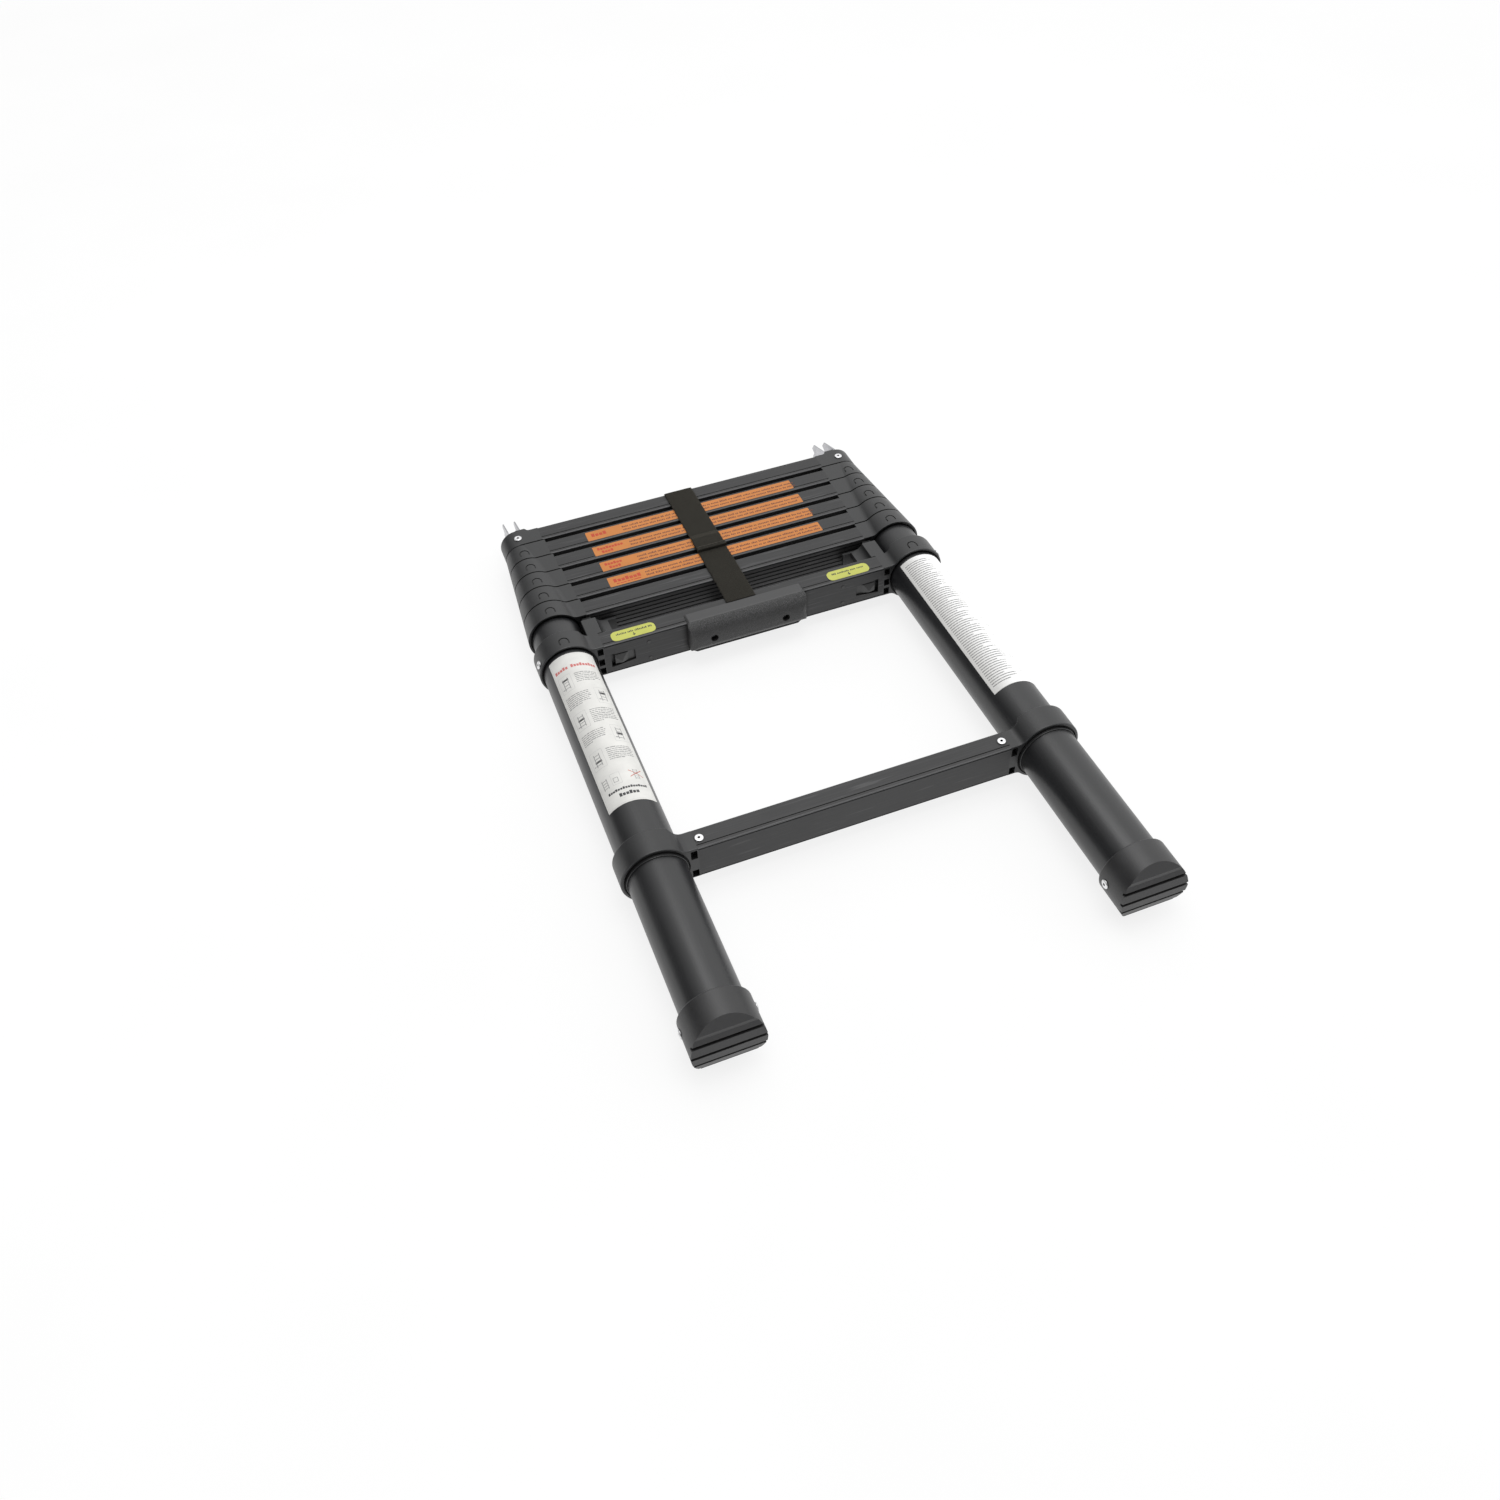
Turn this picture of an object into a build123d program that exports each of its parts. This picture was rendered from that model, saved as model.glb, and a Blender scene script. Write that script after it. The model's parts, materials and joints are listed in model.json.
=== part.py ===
"""Telescopic extension ladder, closed and lying flat.

Axes while modelling: X runs along the rungs, Y up the ladder from the feet to
the top, Z out of the side that faces up.  Y = 0 is the foot side of the lowest
rung and Z = 0 is the plane of the stile axes.  export_node() moves every piece
so that the origin is under the middle of the closed ladder, on the ground.
All sizes are in millimetres.
"""
from build123d import *
from math import degrees
import os

os.makedirs("parts", exist_ok=True)

# ---------------------------------------------------------------- ladder
STILE_X = 204.8            # stile axis to the middle of the ladder
RUNG_SPACING = 300.0       # from rung to rung on the open ladder
CLOSED_PITCH = 30.0        # from rung to rung in the closed stack
FIRST_STACKED = 358.0      # foot side of rung 3 on the closed ladder
RUNG_COUNT = 8
BASE_STAGE = 2             # the base tubes end at rung 2
STAGES = range(BASE_STAGE + 1, RUNG_COUNT + 1)

# ---------------------------------------------------------------- tubes
BASE_TUBE_R = 29.7
TUBE_STEP = 2.2            # each stage is this much smaller in radius
TUBE_WALL = 1.6
BASE_TUBE_START = -181.0
TUBE_INSET = 3.6           # top of a tube below the top of its collar
STAGE_TUBE_START = 10.0    # foot end of the stage 3 tubes
STAGE_START_STEP = 28.0    # each later stage starts this much further up

# ---------------------------------------------------------------- rungs
RUNG_DEPTH = 23.5          # along the ladder
RUNG_HEIGHT = 41.0         # across the ladder, from face to face
RUNG_WALL = 1.6
RUNG_EDGE_R = 1.6
RIB_PITCH = 5.5
RIB_WIDTH = 1.8
RIB_DEPTH = 0.8
RIB_SPAN = 34.0

# ---------------------------------------------------------------- collars
COLLAR_WALL = 3.9          # collar radius less tube radius
BASE_COLLAR_R = 35.6
COLLAR_GAP = 1.8           # between stacked collars
COLLAR_HEIGHT = CLOSED_PITCH - COLLAR_GAP
CAP_HEIGHT = 28.0
ARM_BEYOND_COLLAR = 6.0    # plastic arm from the collar to the rung's end
SPIGOT_LENGTH = 34.0
EDGE_R = 1.25
COLLAR_TAPER = 2.05        # how much a stacked collar narrows towards the hooks
GLUE_GAP = 0.1             # between pieces of one section
SLIDE_GAP = 0.35           # between pieces that slide on each other

# ---------------------------------------------------------------- locks
PIN_R = 4.0
PIN_BORE_R = 4.3
PIN_LENGTH = 46.0
PIN_TO_TUBE = 0.3

# ---------------------------------------------------------------- feet
FOOT_R = 34.3
FOOT_BACK = -155.0
SOLE_TIP = -194.5
SOLE_R = 46.0              # curve of the tread, about an axis along X
SOLE_LOW_Z = -4.0          # height of the tread's furthest point
TREAD_DEPTH = 3.0
TREAD_PITCH = 11.4
TREAD_WIDTH = 8.4
TREAD_RIBS = range(-2, 3)  # rib 0 is the furthest point of the sole

# ---------------------------------------------------------------- strap
STRAP_X = -2.0
STRAP_WIDTH = 34.0
STRAP_THICK = 1.6
STRAP_CLEAR = 0.3
STRAP_OVERLAP_START = 408.0
STRAP_OVERLAP_END = 428.0
STRAP_STEP = (4.0, 8.0)    # flat run beyond the overlap, then the slope down
STRAP_UNDER_START = 8.0    # lower run, from the top side of rung 2

# ---------------------------------------------------------------- hooks
HOOK_TIP = 584.5
HOOK_SHEET = 1.6
HOOK_HALF_WIDTH = 7.8
HOOK_START = 511.0
HOOK_WINDOW_Z = (-13.0, 12.0)  # opening for the hook in the top cap

RUNG_TOP = RUNG_HEIGHT / 2
Y_SHIFT = -(SOLE_TIP + HOOK_TIP) / 2
AXIS_HEIGHT = BASE_COLLAR_R


def rung_front(stage):
    """Foot side of a rung on the closed ladder."""
    if stage == 1:
        return 0.0
    if stage == BASE_STAGE:
        return RUNG_SPACING
    return FIRST_STACKED + (stage - BASE_STAGE - 1) * CLOSED_PITCH


def rung_middle(stage):
    return rung_front(stage) + RUNG_DEPTH / 2


def tube_radius(stage):
    return BASE_TUBE_R - (stage - BASE_STAGE) * TUBE_STEP


def tube_end(stage):
    return rung_front(stage) + COLLAR_HEIGHT - TUBE_INSET


def collar_radius(stage):
    if stage == 1:
        return BASE_COLLAR_R
    return tube_radius(stage) + COLLAR_WALL


def rung_end(stage):
    """Where the extrusion stops and the plastic arm starts."""
    return STILE_X - collar_radius(stage) - ARM_BEYOND_COLLAR


def travel(stage):
    """How far a stage slides out of the one before it."""
    return RUNG_SPACING - (rung_front(stage) - rung_front(stage - 1))


def export_node(name, *solids):
    """Writes one node, moved from the ladder's axes to the ground."""
    placed = [Pos(0, Y_SHIFT, AXIS_HEIGHT) * solid for solid in solids]
    node = placed[0] if len(placed) == 1 else Compound(children=placed)
    export_step(node, f"parts/{name}.step")


def mirrored(solid):
    return mirror(solid, about=Plane.YZ)


def export_pair(name, right_solid):
    export_node(f"{name}_right", right_solid)
    export_node(f"{name}_left", mirrored(right_solid))


def block(x0, x1, y0, y1, z0, z1):
    return Pos((x0 + x1) / 2, (y0 + y1) / 2, (z0 + z1) / 2) * Box(x1 - x0, y1 - y0, z1 - z0)


def rod_y(radius, y0, y1, x=STILE_X, z=0.0):
    """Cylinder along the ladder."""
    return Pos(x, (y0 + y1) / 2, z) * Rot(X=90) * Cylinder(radius, y1 - y0)


def rod_x(radius, x0, x1, y, z=0.0):
    """Cylinder along a rung."""
    return Pos((x0 + x1) / 2, y, z) * Rot(Y=90) * Cylinder(radius, x1 - x0)


def along_y(sketch, y0, y1):
    """Extrudes an X-Z outline from y0 to y1."""
    plane = Plane(origin=(0, y1, 0), x_dir=(1, 0, 0), z_dir=(0, -1, 0))
    return extrude(plane * sketch, y1 - y0, dir=(0, -1, 0))


def along_x(sketch, x0, x1):
    """Extrudes a Y-Z outline from x0 to x1."""
    plane = Plane(origin=(x0, 0, 0), x_dir=(0, 1, 0), z_dir=(1, 0, 0))
    return extrude(plane * sketch, x1 - x0, dir=(1, 0, 0))


# ======================================================================
# Tubes
# ======================================================================
def tube(stage, start):
    """Right-hand tube, with the pin's way through its wall at the top."""
    radius = tube_radius(stage)
    end = tube_end(stage)
    wall = rod_y(radius, start, end) - rod_y(radius - TUBE_WALL, start - 1, end + 1)
    if stage < RUNG_COUNT:
        wall -= rod_x(PIN_BORE_R, STILE_X - radius - 1, STILE_X, rung_middle(stage))
    return wall


def stage_tube(stage):
    """Tube of a sliding stage, with the hole that its lock pin drops into."""
    start = STAGE_TUBE_START + (stage - BASE_STAGE - 1) * STAGE_START_STEP
    lock_y = rung_middle(stage - 1) - travel(stage)
    hole = rod_x(PIN_BORE_R, STILE_X - tube_radius(stage) - 1, STILE_X, lock_y)
    return tube(stage, start) - hole


def base_tube():
    body = tube(BASE_STAGE, BASE_TUBE_START) - COLLAR_RIVET_PLACE * rivet_bore()
    for place in FOOT_RIVET_PLACES:
        body -= place * rivet_bore()
    return body


def export_tubes():
    export_pair("base_tube", base_tube())
    for stage in STAGES:
        right = stage_tube(stage)
        if stage == RUNG_COUNT:
            right -= TOP_RIVET_PLACE * rivet_bore()
        export_node(f"tubes_{stage}", right, mirrored(right))


# ======================================================================
# Rungs
# ======================================================================
TOP_LINE_INSET = 4.5       # fine line along the top face, from the foot side
FACE_LINE_INSET = 1.9      # fine line along the foot side, from the top
LINE_WIDTH = 1.0
LINE_DEPTH = 0.8


def rib_grooves(face_y):
    """Lengthwise anti-slip grooves on one side of the extrusion."""
    count = int(RIB_SPAN / RIB_PITCH)
    grooves = Sketch()
    for index in range(count):
        z = (index - (count - 1) / 2) * RIB_PITCH
        grooves += Pos(face_y, z) * Rectangle(2 * RIB_DEPTH, RIB_WIDTH)
    return grooves


def rung_outline(stage):
    """Hollow section in Y and Z, with ribs on the tread and, in the stack, below."""
    front = rung_front(stage)
    outline = Pos(rung_middle(stage), 0) * RectangleRounded(RUNG_DEPTH, RUNG_HEIGHT, RUNG_EDGE_R)
    hollow = Rectangle(RUNG_DEPTH - 2 * RUNG_WALL, RUNG_HEIGHT - 2 * RUNG_WALL)
    outline -= Pos(rung_middle(stage), 0) * hollow
    outline -= rib_grooves(front + RUNG_DEPTH)
    if stage > BASE_STAGE:
        outline -= rib_grooves(front)
    for side in (1, -1):
        top_line = Rectangle(LINE_WIDTH, 2 * LINE_DEPTH)
        outline -= Pos(front + TOP_LINE_INSET, side * RUNG_TOP) * top_line
        face_line = Rectangle(2 * LINE_DEPTH, LINE_WIDTH)
        outline -= Pos(front, side * (RUNG_TOP - FACE_LINE_INSET)) * face_line
    return outline


def rung(stage):
    end = rung_end(stage)
    return along_x(rung_outline(stage), -end, end)


# ======================================================================
# Collars with their arms
# ======================================================================
NECK_R = 10.0              # blend between collar and arm, seen along the ladder
NECK_LEAST = 2.0           # no blend where the collar stands up less than this
STEP_SHARE = 0.6           # where a base arm widens to the collar, in collar radii
STEP_R = 4.0
MARK_R = 5.7               # snap tab outline on top of the collar
MARK_LINE = 1.4
MARK_LEG = 4.5
MARK_DEPTH = 1.4
MARK_Y = 11.0              # centre of the tab's arc above the collar's rim
POCKET_X = (1.0, 7.5)      # core pockets in the arm, from the rung's end
POCKET_DEPTH = 6.0
BEAD_LENGTH = 2.5          # bead round the tube below collar 1
BEAD_WALL = 1.1
BEAD_R = 0.5
RIM_WIDTH = 1.9            # recess in the rim that faces the feet
RIM_DEPTH = 2.5
POCKETS_BASE = ((7.0, 18.5), (-19.0, -9.5))
POCKETS_LATCH = ((9.0, 18.0), (-6.0, 3.0), (-18.5, -9.5))


def snap_mark(radius, y):
    """Groove of an n-shaped tab, open towards the feet."""
    outer = Circle(MARK_R) + Pos(0, -MARK_LEG / 2) * Rectangle(2 * MARK_R, MARK_LEG)
    inner_r = MARK_R - MARK_LINE
    long_leg = MARK_LEG + 2
    inner = Circle(inner_r) + Pos(0, -long_leg / 2) * Rectangle(2 * inner_r, long_leg)
    lower_half = Pos(0, -MARK_LEG - MARK_R) * Rectangle(4 * MARK_R, 2 * MARK_R)
    groove = outer - inner - lower_half
    return extrude(Pos(STILE_X, y, radius - MARK_DEPTH) * groove, 2 * MARK_DEPTH)


def arm_step(stage, height):
    """What an arm lacks of the collar's height, so that it lines up with its rung."""
    end = rung_end(stage)
    step_x = STILE_X - STEP_SHARE * collar_radius(stage)
    top = height + 2
    step = Polygon((end - 1, RUNG_DEPTH), (step_x - 2, RUNG_DEPTH), (step_x + 2, top), (end - 1, top),
                   align=None)
    corner = step.vertices().sort_by(Axis.Y)[:2].sort_by(Axis.X)[-1]
    step = fillet(corner, STEP_R)
    return extrude(Pos(0, rung_front(stage), -RUNG_HEIGHT) * step, 2 * RUNG_HEIGHT)


def collar_outline(stage, radius):
    """Ring and arm as seen along the ladder."""
    end = rung_end(stage)
    arm = Pos((end + STILE_X) / 2, 0) * Rectangle(STILE_X - end, RUNG_HEIGHT)
    outline = Pos(STILE_X, 0) * Circle(radius) + arm
    corners = outline.vertices().filter_by(lambda v: end + 1 < v.X < STILE_X)
    if radius - RUNG_TOP > NECK_LEAST:
        outline = fillet(corners, NECK_R)
    return outline


def straight_collar(stage, height):
    """Collar of the base or the top cap, with an arm no deeper than its rung."""
    radius = collar_radius(stage)
    front = rung_front(stage)
    body = along_y(collar_outline(stage, radius), front, front + height)
    body -= arm_step(stage, height)
    ring_edges = body.edges().filter_by(GeomType.CIRCLE)
    ring_edges = ring_edges.filter_by(lambda e: abs(e.radius - radius) < 0.01)
    return fillet(ring_edges, EDGE_R)


def tapered_collar(stage, height):
    """Stacked collar, so that the closed stack has the outline of a cone."""
    front = rung_front(stage)
    foot_r = collar_radius(stage)
    ends = ((front, foot_r), (front + height, foot_r - COLLAR_TAPER))
    planes = [Plane(origin=(0, y, 0), x_dir=(1, 0, 0), z_dir=(0, -1, 0)) for y, _ in ends]
    faces = [plane * collar_outline(stage, radius).face() for plane, (_, radius) in zip(planes, ends)]
    if ends[1][1] - RUNG_TOP > NECK_LEAST:
        return loft(faces, ruled=True)
    ring = Pos(STILE_X, front + height / 2, 0) * Rot(X=-90) * Cone(foot_r, ends[1][1], height)
    return ring + block(rung_end(stage), STILE_X, front, front + height, -RUNG_TOP, RUNG_TOP)


def collar_body(stage, height):
    """Ring round the stile and the arm to the rung, without bores."""
    if stage <= BASE_STAGE or stage == RUNG_COUNT:
        return straight_collar(stage, height)
    return tapered_collar(stage, height)


def spigot(stage, length):
    """Tongue of the arm inside the hollow rung."""
    end = rung_end(stage)
    half_depth = RUNG_DEPTH / 2 - RUNG_WALL - GLUE_GAP
    half_height = RUNG_TOP - RUNG_WALL - GLUE_GAP
    middle = rung_middle(stage)
    return block(end - length, end, middle - half_depth, middle + half_depth, -half_height, half_height)


def pockets(stage, spans):
    """Core pockets in the foot side of the arm."""
    x0 = rung_end(stage) + POCKET_X[0]
    x1 = rung_end(stage) + POCKET_X[1]
    front = rung_front(stage)
    return [block(x0, x1, front - 1, front + POCKET_DEPTH, low, high) for low, high in spans]


def rim_recess(stage, inner_r):
    """Ring-shaped recess round the tube, in the foot side of a collar."""
    front = rung_front(stage)
    ring = rod_y(inner_r + RIM_WIDTH, front - 1, front + RIM_DEPTH)
    return ring - rod_y(inner_r, front - 2, front + RIM_DEPTH + 1)


def pin_bore(stage):
    """Way of the lock pin through the spigot, the arm and the collar's wall."""
    start = rung_end(stage) - SPIGOT_LENGTH - 1
    return rod_x(PIN_BORE_R, start, STILE_X, rung_middle(stage))


def base_collar():
    """Collar clamped round the base tube at the lowest rung."""
    front = rung_front(1)
    bead_start = front - BEAD_LENGTH
    collar = collar_body(1, COLLAR_HEIGHT) + spigot(1, SPIGOT_LENGTH)
    bead = rod_y(BASE_TUBE_R + BEAD_WALL, bead_start, front)
    collar += fillet(bead.edges().sort_by(Axis.Y)[0], BEAD_R)
    collar -= rod_y(BASE_TUBE_R + GLUE_GAP, bead_start - 1, front + COLLAR_HEIGHT + 1)
    collar -= rim_recess(1, BASE_TUBE_R + BEAD_WALL)
    for pocket in pockets(1, POCKETS_BASE):
        collar -= pocket
    return collar - RUNG_RIVET_PLACE * rivet_bore()


def stage_collar(stage):
    """Collar at the top of a tube, with the lip that guides the next tube."""
    front = rung_front(stage)
    seat = tube_end(stage)
    next_r = tube_radius(stage + 1)
    collar = collar_body(stage, COLLAR_HEIGHT) + spigot(stage, SPIGOT_LENGTH)
    collar -= rod_y(tube_radius(stage) + GLUE_GAP, front - 1, seat)
    collar -= rim_recess(stage, tube_radius(stage))
    collar -= rod_y(next_r + SLIDE_GAP, seat - 1, front + COLLAR_HEIGHT + 1)
    collar -= pin_bore(stage)
    narrowed = 0 if stage == BASE_STAGE else COLLAR_TAPER * MARK_Y / COLLAR_HEIGHT
    collar -= snap_mark(collar_radius(stage) - narrowed, front + MARK_Y)
    spans = POCKETS_LATCH if stage == BASE_STAGE else POCKETS_BASE
    for pocket in pockets(stage, spans):
        collar -= pocket
    return collar


def top_cap():
    """Closed collar at the top of the last tube, with the way out of the hook."""
    stage = RUNG_COUNT
    front = rung_front(stage)
    end = front + CAP_HEIGHT
    seat = tube_end(stage)
    cap = collar_body(stage, CAP_HEIGHT) + spigot(stage, SPIGOT_LENGTH)
    cap -= rod_y(tube_radius(stage) + GLUE_GAP, front - 1, seat)
    cap -= rim_recess(stage, tube_radius(stage))
    half = HOOK_HALF_WIDTH + GLUE_GAP
    cap -= block(STILE_X - half, STILE_X + half, seat - 1, end + 1, *HOOK_WINDOW_Z)
    return cap - TOP_RIVET_PLACE * rivet_bore()


# ======================================================================
# Blind rivets
# ======================================================================
RIVET_HEAD_R = 4.6
RIVET_HEAD_HEIGHT = 1.3
RIVET_SHANK_R = 2.4
RIVET_HOLE_R = 1.4
RIVET_LENGTH = 7.0
COLLAR_RIVET_LENGTH = 5.4  # ends flush inside the base tube
TOP_RIVET_LENGTH = 11.0    # reaches through the hook's web
BORE_LENGTH = 14.0
RIVET_INSET_X = 5.0        # rung rivets, from the end of the extrusion
FOOT_RIVET_Y = -166.0
COLLAR_RIVET_Y = 8.0       # above the rim of collar 2
COLLAR_RIVET_ANGLE = 22.4  # up from the outermost line of the collar
TOP_RIVET_Y = 12.0         # above the rim of the top cap


def rivet(length=RIVET_LENGTH):
    """Blind rivet along Z, its head resting on Z = 0."""
    head = Cylinder(RIVET_HEAD_R, RIVET_HEAD_HEIGHT, align=(Align.CENTER, Align.CENTER, Align.MIN))
    head = fillet(head.edges().sort_by(Axis.Z)[-1], RIVET_HEAD_HEIGHT * 0.85)
    shank = Cylinder(RIVET_SHANK_R, length, align=(Align.CENTER, Align.CENTER, Align.MAX))
    hole = Cylinder(RIVET_HOLE_R, 2 * RIVET_HEAD_HEIGHT, align=(Align.CENTER, Align.CENTER, Align.MIN))
    return head + shank - Pos(0, 0, -RIVET_HEAD_HEIGHT) * hole


def rivet_bore():
    """Hole for a rivet along Z, down from Z = 0."""
    radius = RIVET_SHANK_R + GLUE_GAP
    return Pos(0, 0, 1) * Cylinder(radius, BORE_LENGTH, align=(Align.CENTER, Align.CENTER, Align.MAX))


RUNG_RIVET_PLACE = Pos(rung_end(1) - RIVET_INSET_X, rung_middle(1), RUNG_TOP)
TOP_RIVET_PLACE = Pos(STILE_X, rung_front(RUNG_COUNT) + TOP_RIVET_Y, RUNG_TOP)
COLLAR_RIVET_PLACE = (Pos(STILE_X, RUNG_SPACING + COLLAR_RIVET_Y, 0)
                      * Rot(Y=90 - COLLAR_RIVET_ANGLE) * Pos(0, 0, collar_radius(BASE_STAGE)))
FOOT_RIVET_PLACES = [Pos(STILE_X + side * FOOT_R, FOOT_RIVET_Y, 0) * Rot(Y=side * 90)
                     for side in (1, -1)]


def export_rivets():
    right = [FOOT_RIVET_PLACES[0] * rivet(), FOOT_RIVET_PLACES[1] * rivet()]
    right.append(RUNG_RIVET_PLACE * rivet())
    right.append(COLLAR_RIVET_PLACE * rivet(COLLAR_RIVET_LENGTH))
    export_node("base_rivets", *right, *[mirrored(solid) for solid in right])
    top = TOP_RIVET_PLACE * rivet(TOP_RIVET_LENGTH)
    export_node("top_rivets", top, mirrored(top))


# ======================================================================
# Feet
# ======================================================================
FACET_TOP_Y = -182.5       # slanted half-moon face above the tread
FACET_LOW_Y = -188.6
FACET_LOW_Z = 23.0


def foot():
    """Rubber foot: sleeve round the tube and a curved, ribbed tread."""
    curve_y = SOLE_TIP + SOLE_R
    core = rod_x(SOLE_R - TREAD_DEPTH, STILE_X - FOOT_R, STILE_X + FOOT_R, curve_y, SOLE_LOW_Z)
    facet = Polygon((FOOT_BACK, FOOT_R), (FACET_TOP_Y, FOOT_R), (FACET_LOW_Y, FACET_LOW_Z),
                    (FACET_LOW_Y, SOLE_LOW_Z), (FOOT_BACK, SOLE_LOW_Z), align=None)
    shape = core + along_x(facet, STILE_X - FOOT_R, STILE_X + FOOT_R)
    step = degrees(TREAD_PITCH / SOLE_R)
    for index in TREAD_RIBS:
        rib = Box(2 * FOOT_R, 2 * TREAD_DEPTH, TREAD_WIDTH)
        around = Pos(STILE_X, curve_y, SOLE_LOW_Z) * Rot(X=-index * step)
        shape += around * Pos(0, TREAD_DEPTH - SOLE_R, 0) * rib
    sleeve = rod_y(FOOT_R, SOLE_TIP - 1, FOOT_BACK)
    sleeve = fillet(sleeve.edges().sort_by(Axis.Y)[-1], EDGE_R)
    body = sleeve & shape
    body -= rod_y(BASE_TUBE_R + GLUE_GAP, BASE_TUBE_START - GLUE_GAP, FOOT_BACK + 1)
    for place in FOOT_RIVET_PLACES:
        body -= place * rivet_bore()
    return body


# ======================================================================
# Handle on rung 2
# ======================================================================
HANDLE_X = -1.5
HANDLE_HALF = 69.5
HANDLE_BULGE = 13.0
HANDLE_SKIN = 1.5
HANDLE_FLANGE = 12.5       # reach of the flanges over the rung
HANDLE_TOP_R = 4.0         # corners seen from the feet
HANDLE_LOW_R = 12.0
HANDLE_PLAN_R = 9.0        # front corners seen from above
HANDLE_SCREWS_X = (HANDLE_X - 42.3, HANDLE_X + 42.3)
SCREW_HEAD_R = 3.4
SCREW_HEAD_HEIGHT = 2.4
SCREW_HOLE_R = 4.3
SCREW_SHANK_R = 1.8
SCREW_SEAT = 5.0           # plastic left under the screw's head
SCREW_SLOT_DEPTH = 1.2
SCREW_SLOT_WIDTH = 1.0
SCREW_LENGTH_INSIDE = 4.8  # shank beyond the rung's foot side
HANDLE_RIDGE = (2.4, 0.8)       # point of the bulge just below its upper edge
HANDLE_SHOULDER = (0.84, 0.50)  # point of the bulge, in shares of depth and height


def handle():
    front = rung_front(BASE_STAGE)
    outer_z = RUNG_TOP + HANDLE_SKIN
    gap = GLUE_GAP
    top = Line((front + HANDLE_FLANGE, outer_z), (front, outer_z))
    shoulder_y = front - HANDLE_SHOULDER[0] * HANDLE_BULGE
    shoulder_z = HANDLE_SHOULDER[1] * outer_z
    ridge = (front - HANDLE_RIDGE[0], outer_z - HANDLE_RIDGE[1])
    bulge = Spline((front, outer_z), ridge, (shoulder_y, shoulder_z), (front - HANDLE_BULGE, 0),
                   (shoulder_y, -shoulder_z), (ridge[0], -ridge[1]), (front, -outer_z),
                   tangents=((-1, 0), (1, 0)))
    bottom = Polyline((front, -outer_z), (front + HANDLE_FLANGE, -outer_z),
                      (front + HANDLE_FLANGE, -RUNG_TOP - gap), (front - gap, -RUNG_TOP - gap),
                      (front - gap, RUNG_TOP + gap), (front + HANDLE_FLANGE, RUNG_TOP + gap),
                      (front + HANDLE_FLANGE, outer_z))
    body = along_x(make_face(top + bulge + bottom), HANDLE_X - HANDLE_HALF, HANDLE_X + HANDLE_HALF)
    elevation = Pos(HANDLE_X, 0) * Rectangle(2 * HANDLE_HALF, 2 * outer_z)
    elevation = fillet(elevation.vertices().sort_by(Axis.Y)[:2], HANDLE_LOW_R)
    elevation = fillet(elevation.vertices().sort_by(Axis.Y)[-2:], HANDLE_TOP_R)
    body &= along_y(elevation, front - 2 * HANDLE_BULGE, front + 2 * HANDLE_FLANGE)
    plan_length = HANDLE_BULGE + 2 * HANDLE_FLANGE
    plan = Pos(HANDLE_X, front - HANDLE_BULGE + plan_length / 2) * Rectangle(2 * HANDLE_HALF, plan_length)
    plan = fillet(plan.vertices().sort_by(Axis.Y)[:2], HANDLE_PLAN_R)
    body &= extrude(Pos(0, 0, -RUNG_HEIGHT) * plan, 2 * RUNG_HEIGHT)
    for x in HANDLE_SCREWS_X:
        body -= rod_y(SCREW_HOLE_R, front - 2 * HANDLE_BULGE, front - SCREW_SEAT, x)
        body -= rod_y(SCREW_SHANK_R + gap, front - 2 * HANDLE_BULGE, front, x)
    return body


def handle_screw(x):
    front = rung_front(BASE_STAGE)
    seat = front - SCREW_SEAT
    head = rod_y(SCREW_HEAD_R, seat - SCREW_HEAD_HEIGHT, seat, x)
    head = fillet(head.edges().sort_by(Axis.Y)[0], 1)
    shank = rod_y(SCREW_SHANK_R, seat, front + SCREW_LENGTH_INSIDE, x)
    slot_start = seat - SCREW_HEAD_HEIGHT
    slot = block(x - SCREW_HEAD_R, x + SCREW_HEAD_R, slot_start, slot_start + SCREW_SLOT_DEPTH,
                 -SCREW_SLOT_WIDTH / 2, SCREW_SLOT_WIDTH / 2)
    cross = Pos(x, 0, 0) * Rot(Y=90) * Pos(-x, 0, 0) * slot
    return head + shank - slot - cross


# ======================================================================
# Release latch on rung 2
# ======================================================================
WINDOW_X = (131.5, 159.0)
WINDOW_INNER_Z = (-9.0, 4.5)
WINDOW_OUTER_Z = (-12.0, 7.0)
PLATE_X = (119.0, 154.5)   # slides towards the middle, behind the window
PLATE_THICK = 3.0
PLATE_CLEAR = 0.5
PLATE_Z = (-13.5, 8.5)
THUMB_X = (138.5, 147.0, 154.5)   # foot of the wedge, its ridge, its outer end
THUMB_Z = (-8.0, 2.8)
THUMB_HEIGHT = 3.4         # stands out through the window
THUMB_TOP_HEIGHT = 0.8     # the wedge slopes back towards its upper edge
LUG_X = (122.0, 130.0)
LUG_HALF = 6.5
LATCH_RIVET_X = 115.0
LATCH_RIVET_Z = (9.5, -13.5)
LATCH_RIVET_R = 2.0
LATCH_RIVET_PROUD = 0.4
BLOCK_X = (160.0, 177.0)
BLOCK_END = 350.0
BLOCK_EDGE_R = 1.0
POST_X = (164.0, 174.0)    # low buffer between the block and the stack
POST_END = 357.5
POST_TOP_Z = 16.5
SCOOP_Y = (326.0, 350.0)
SCOOP_LINE = ((153.3, 13.6), (147.0, 12.0))   # hollow slope, down from the block's edge
SCOOP_FLOOR_Z = 4.0
FIN_X = (137.0, 161.0)     # wall behind the slope
FIN_Y = (350.0, 353.0)
FIN_Z = (-6.0, 11.0)


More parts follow.
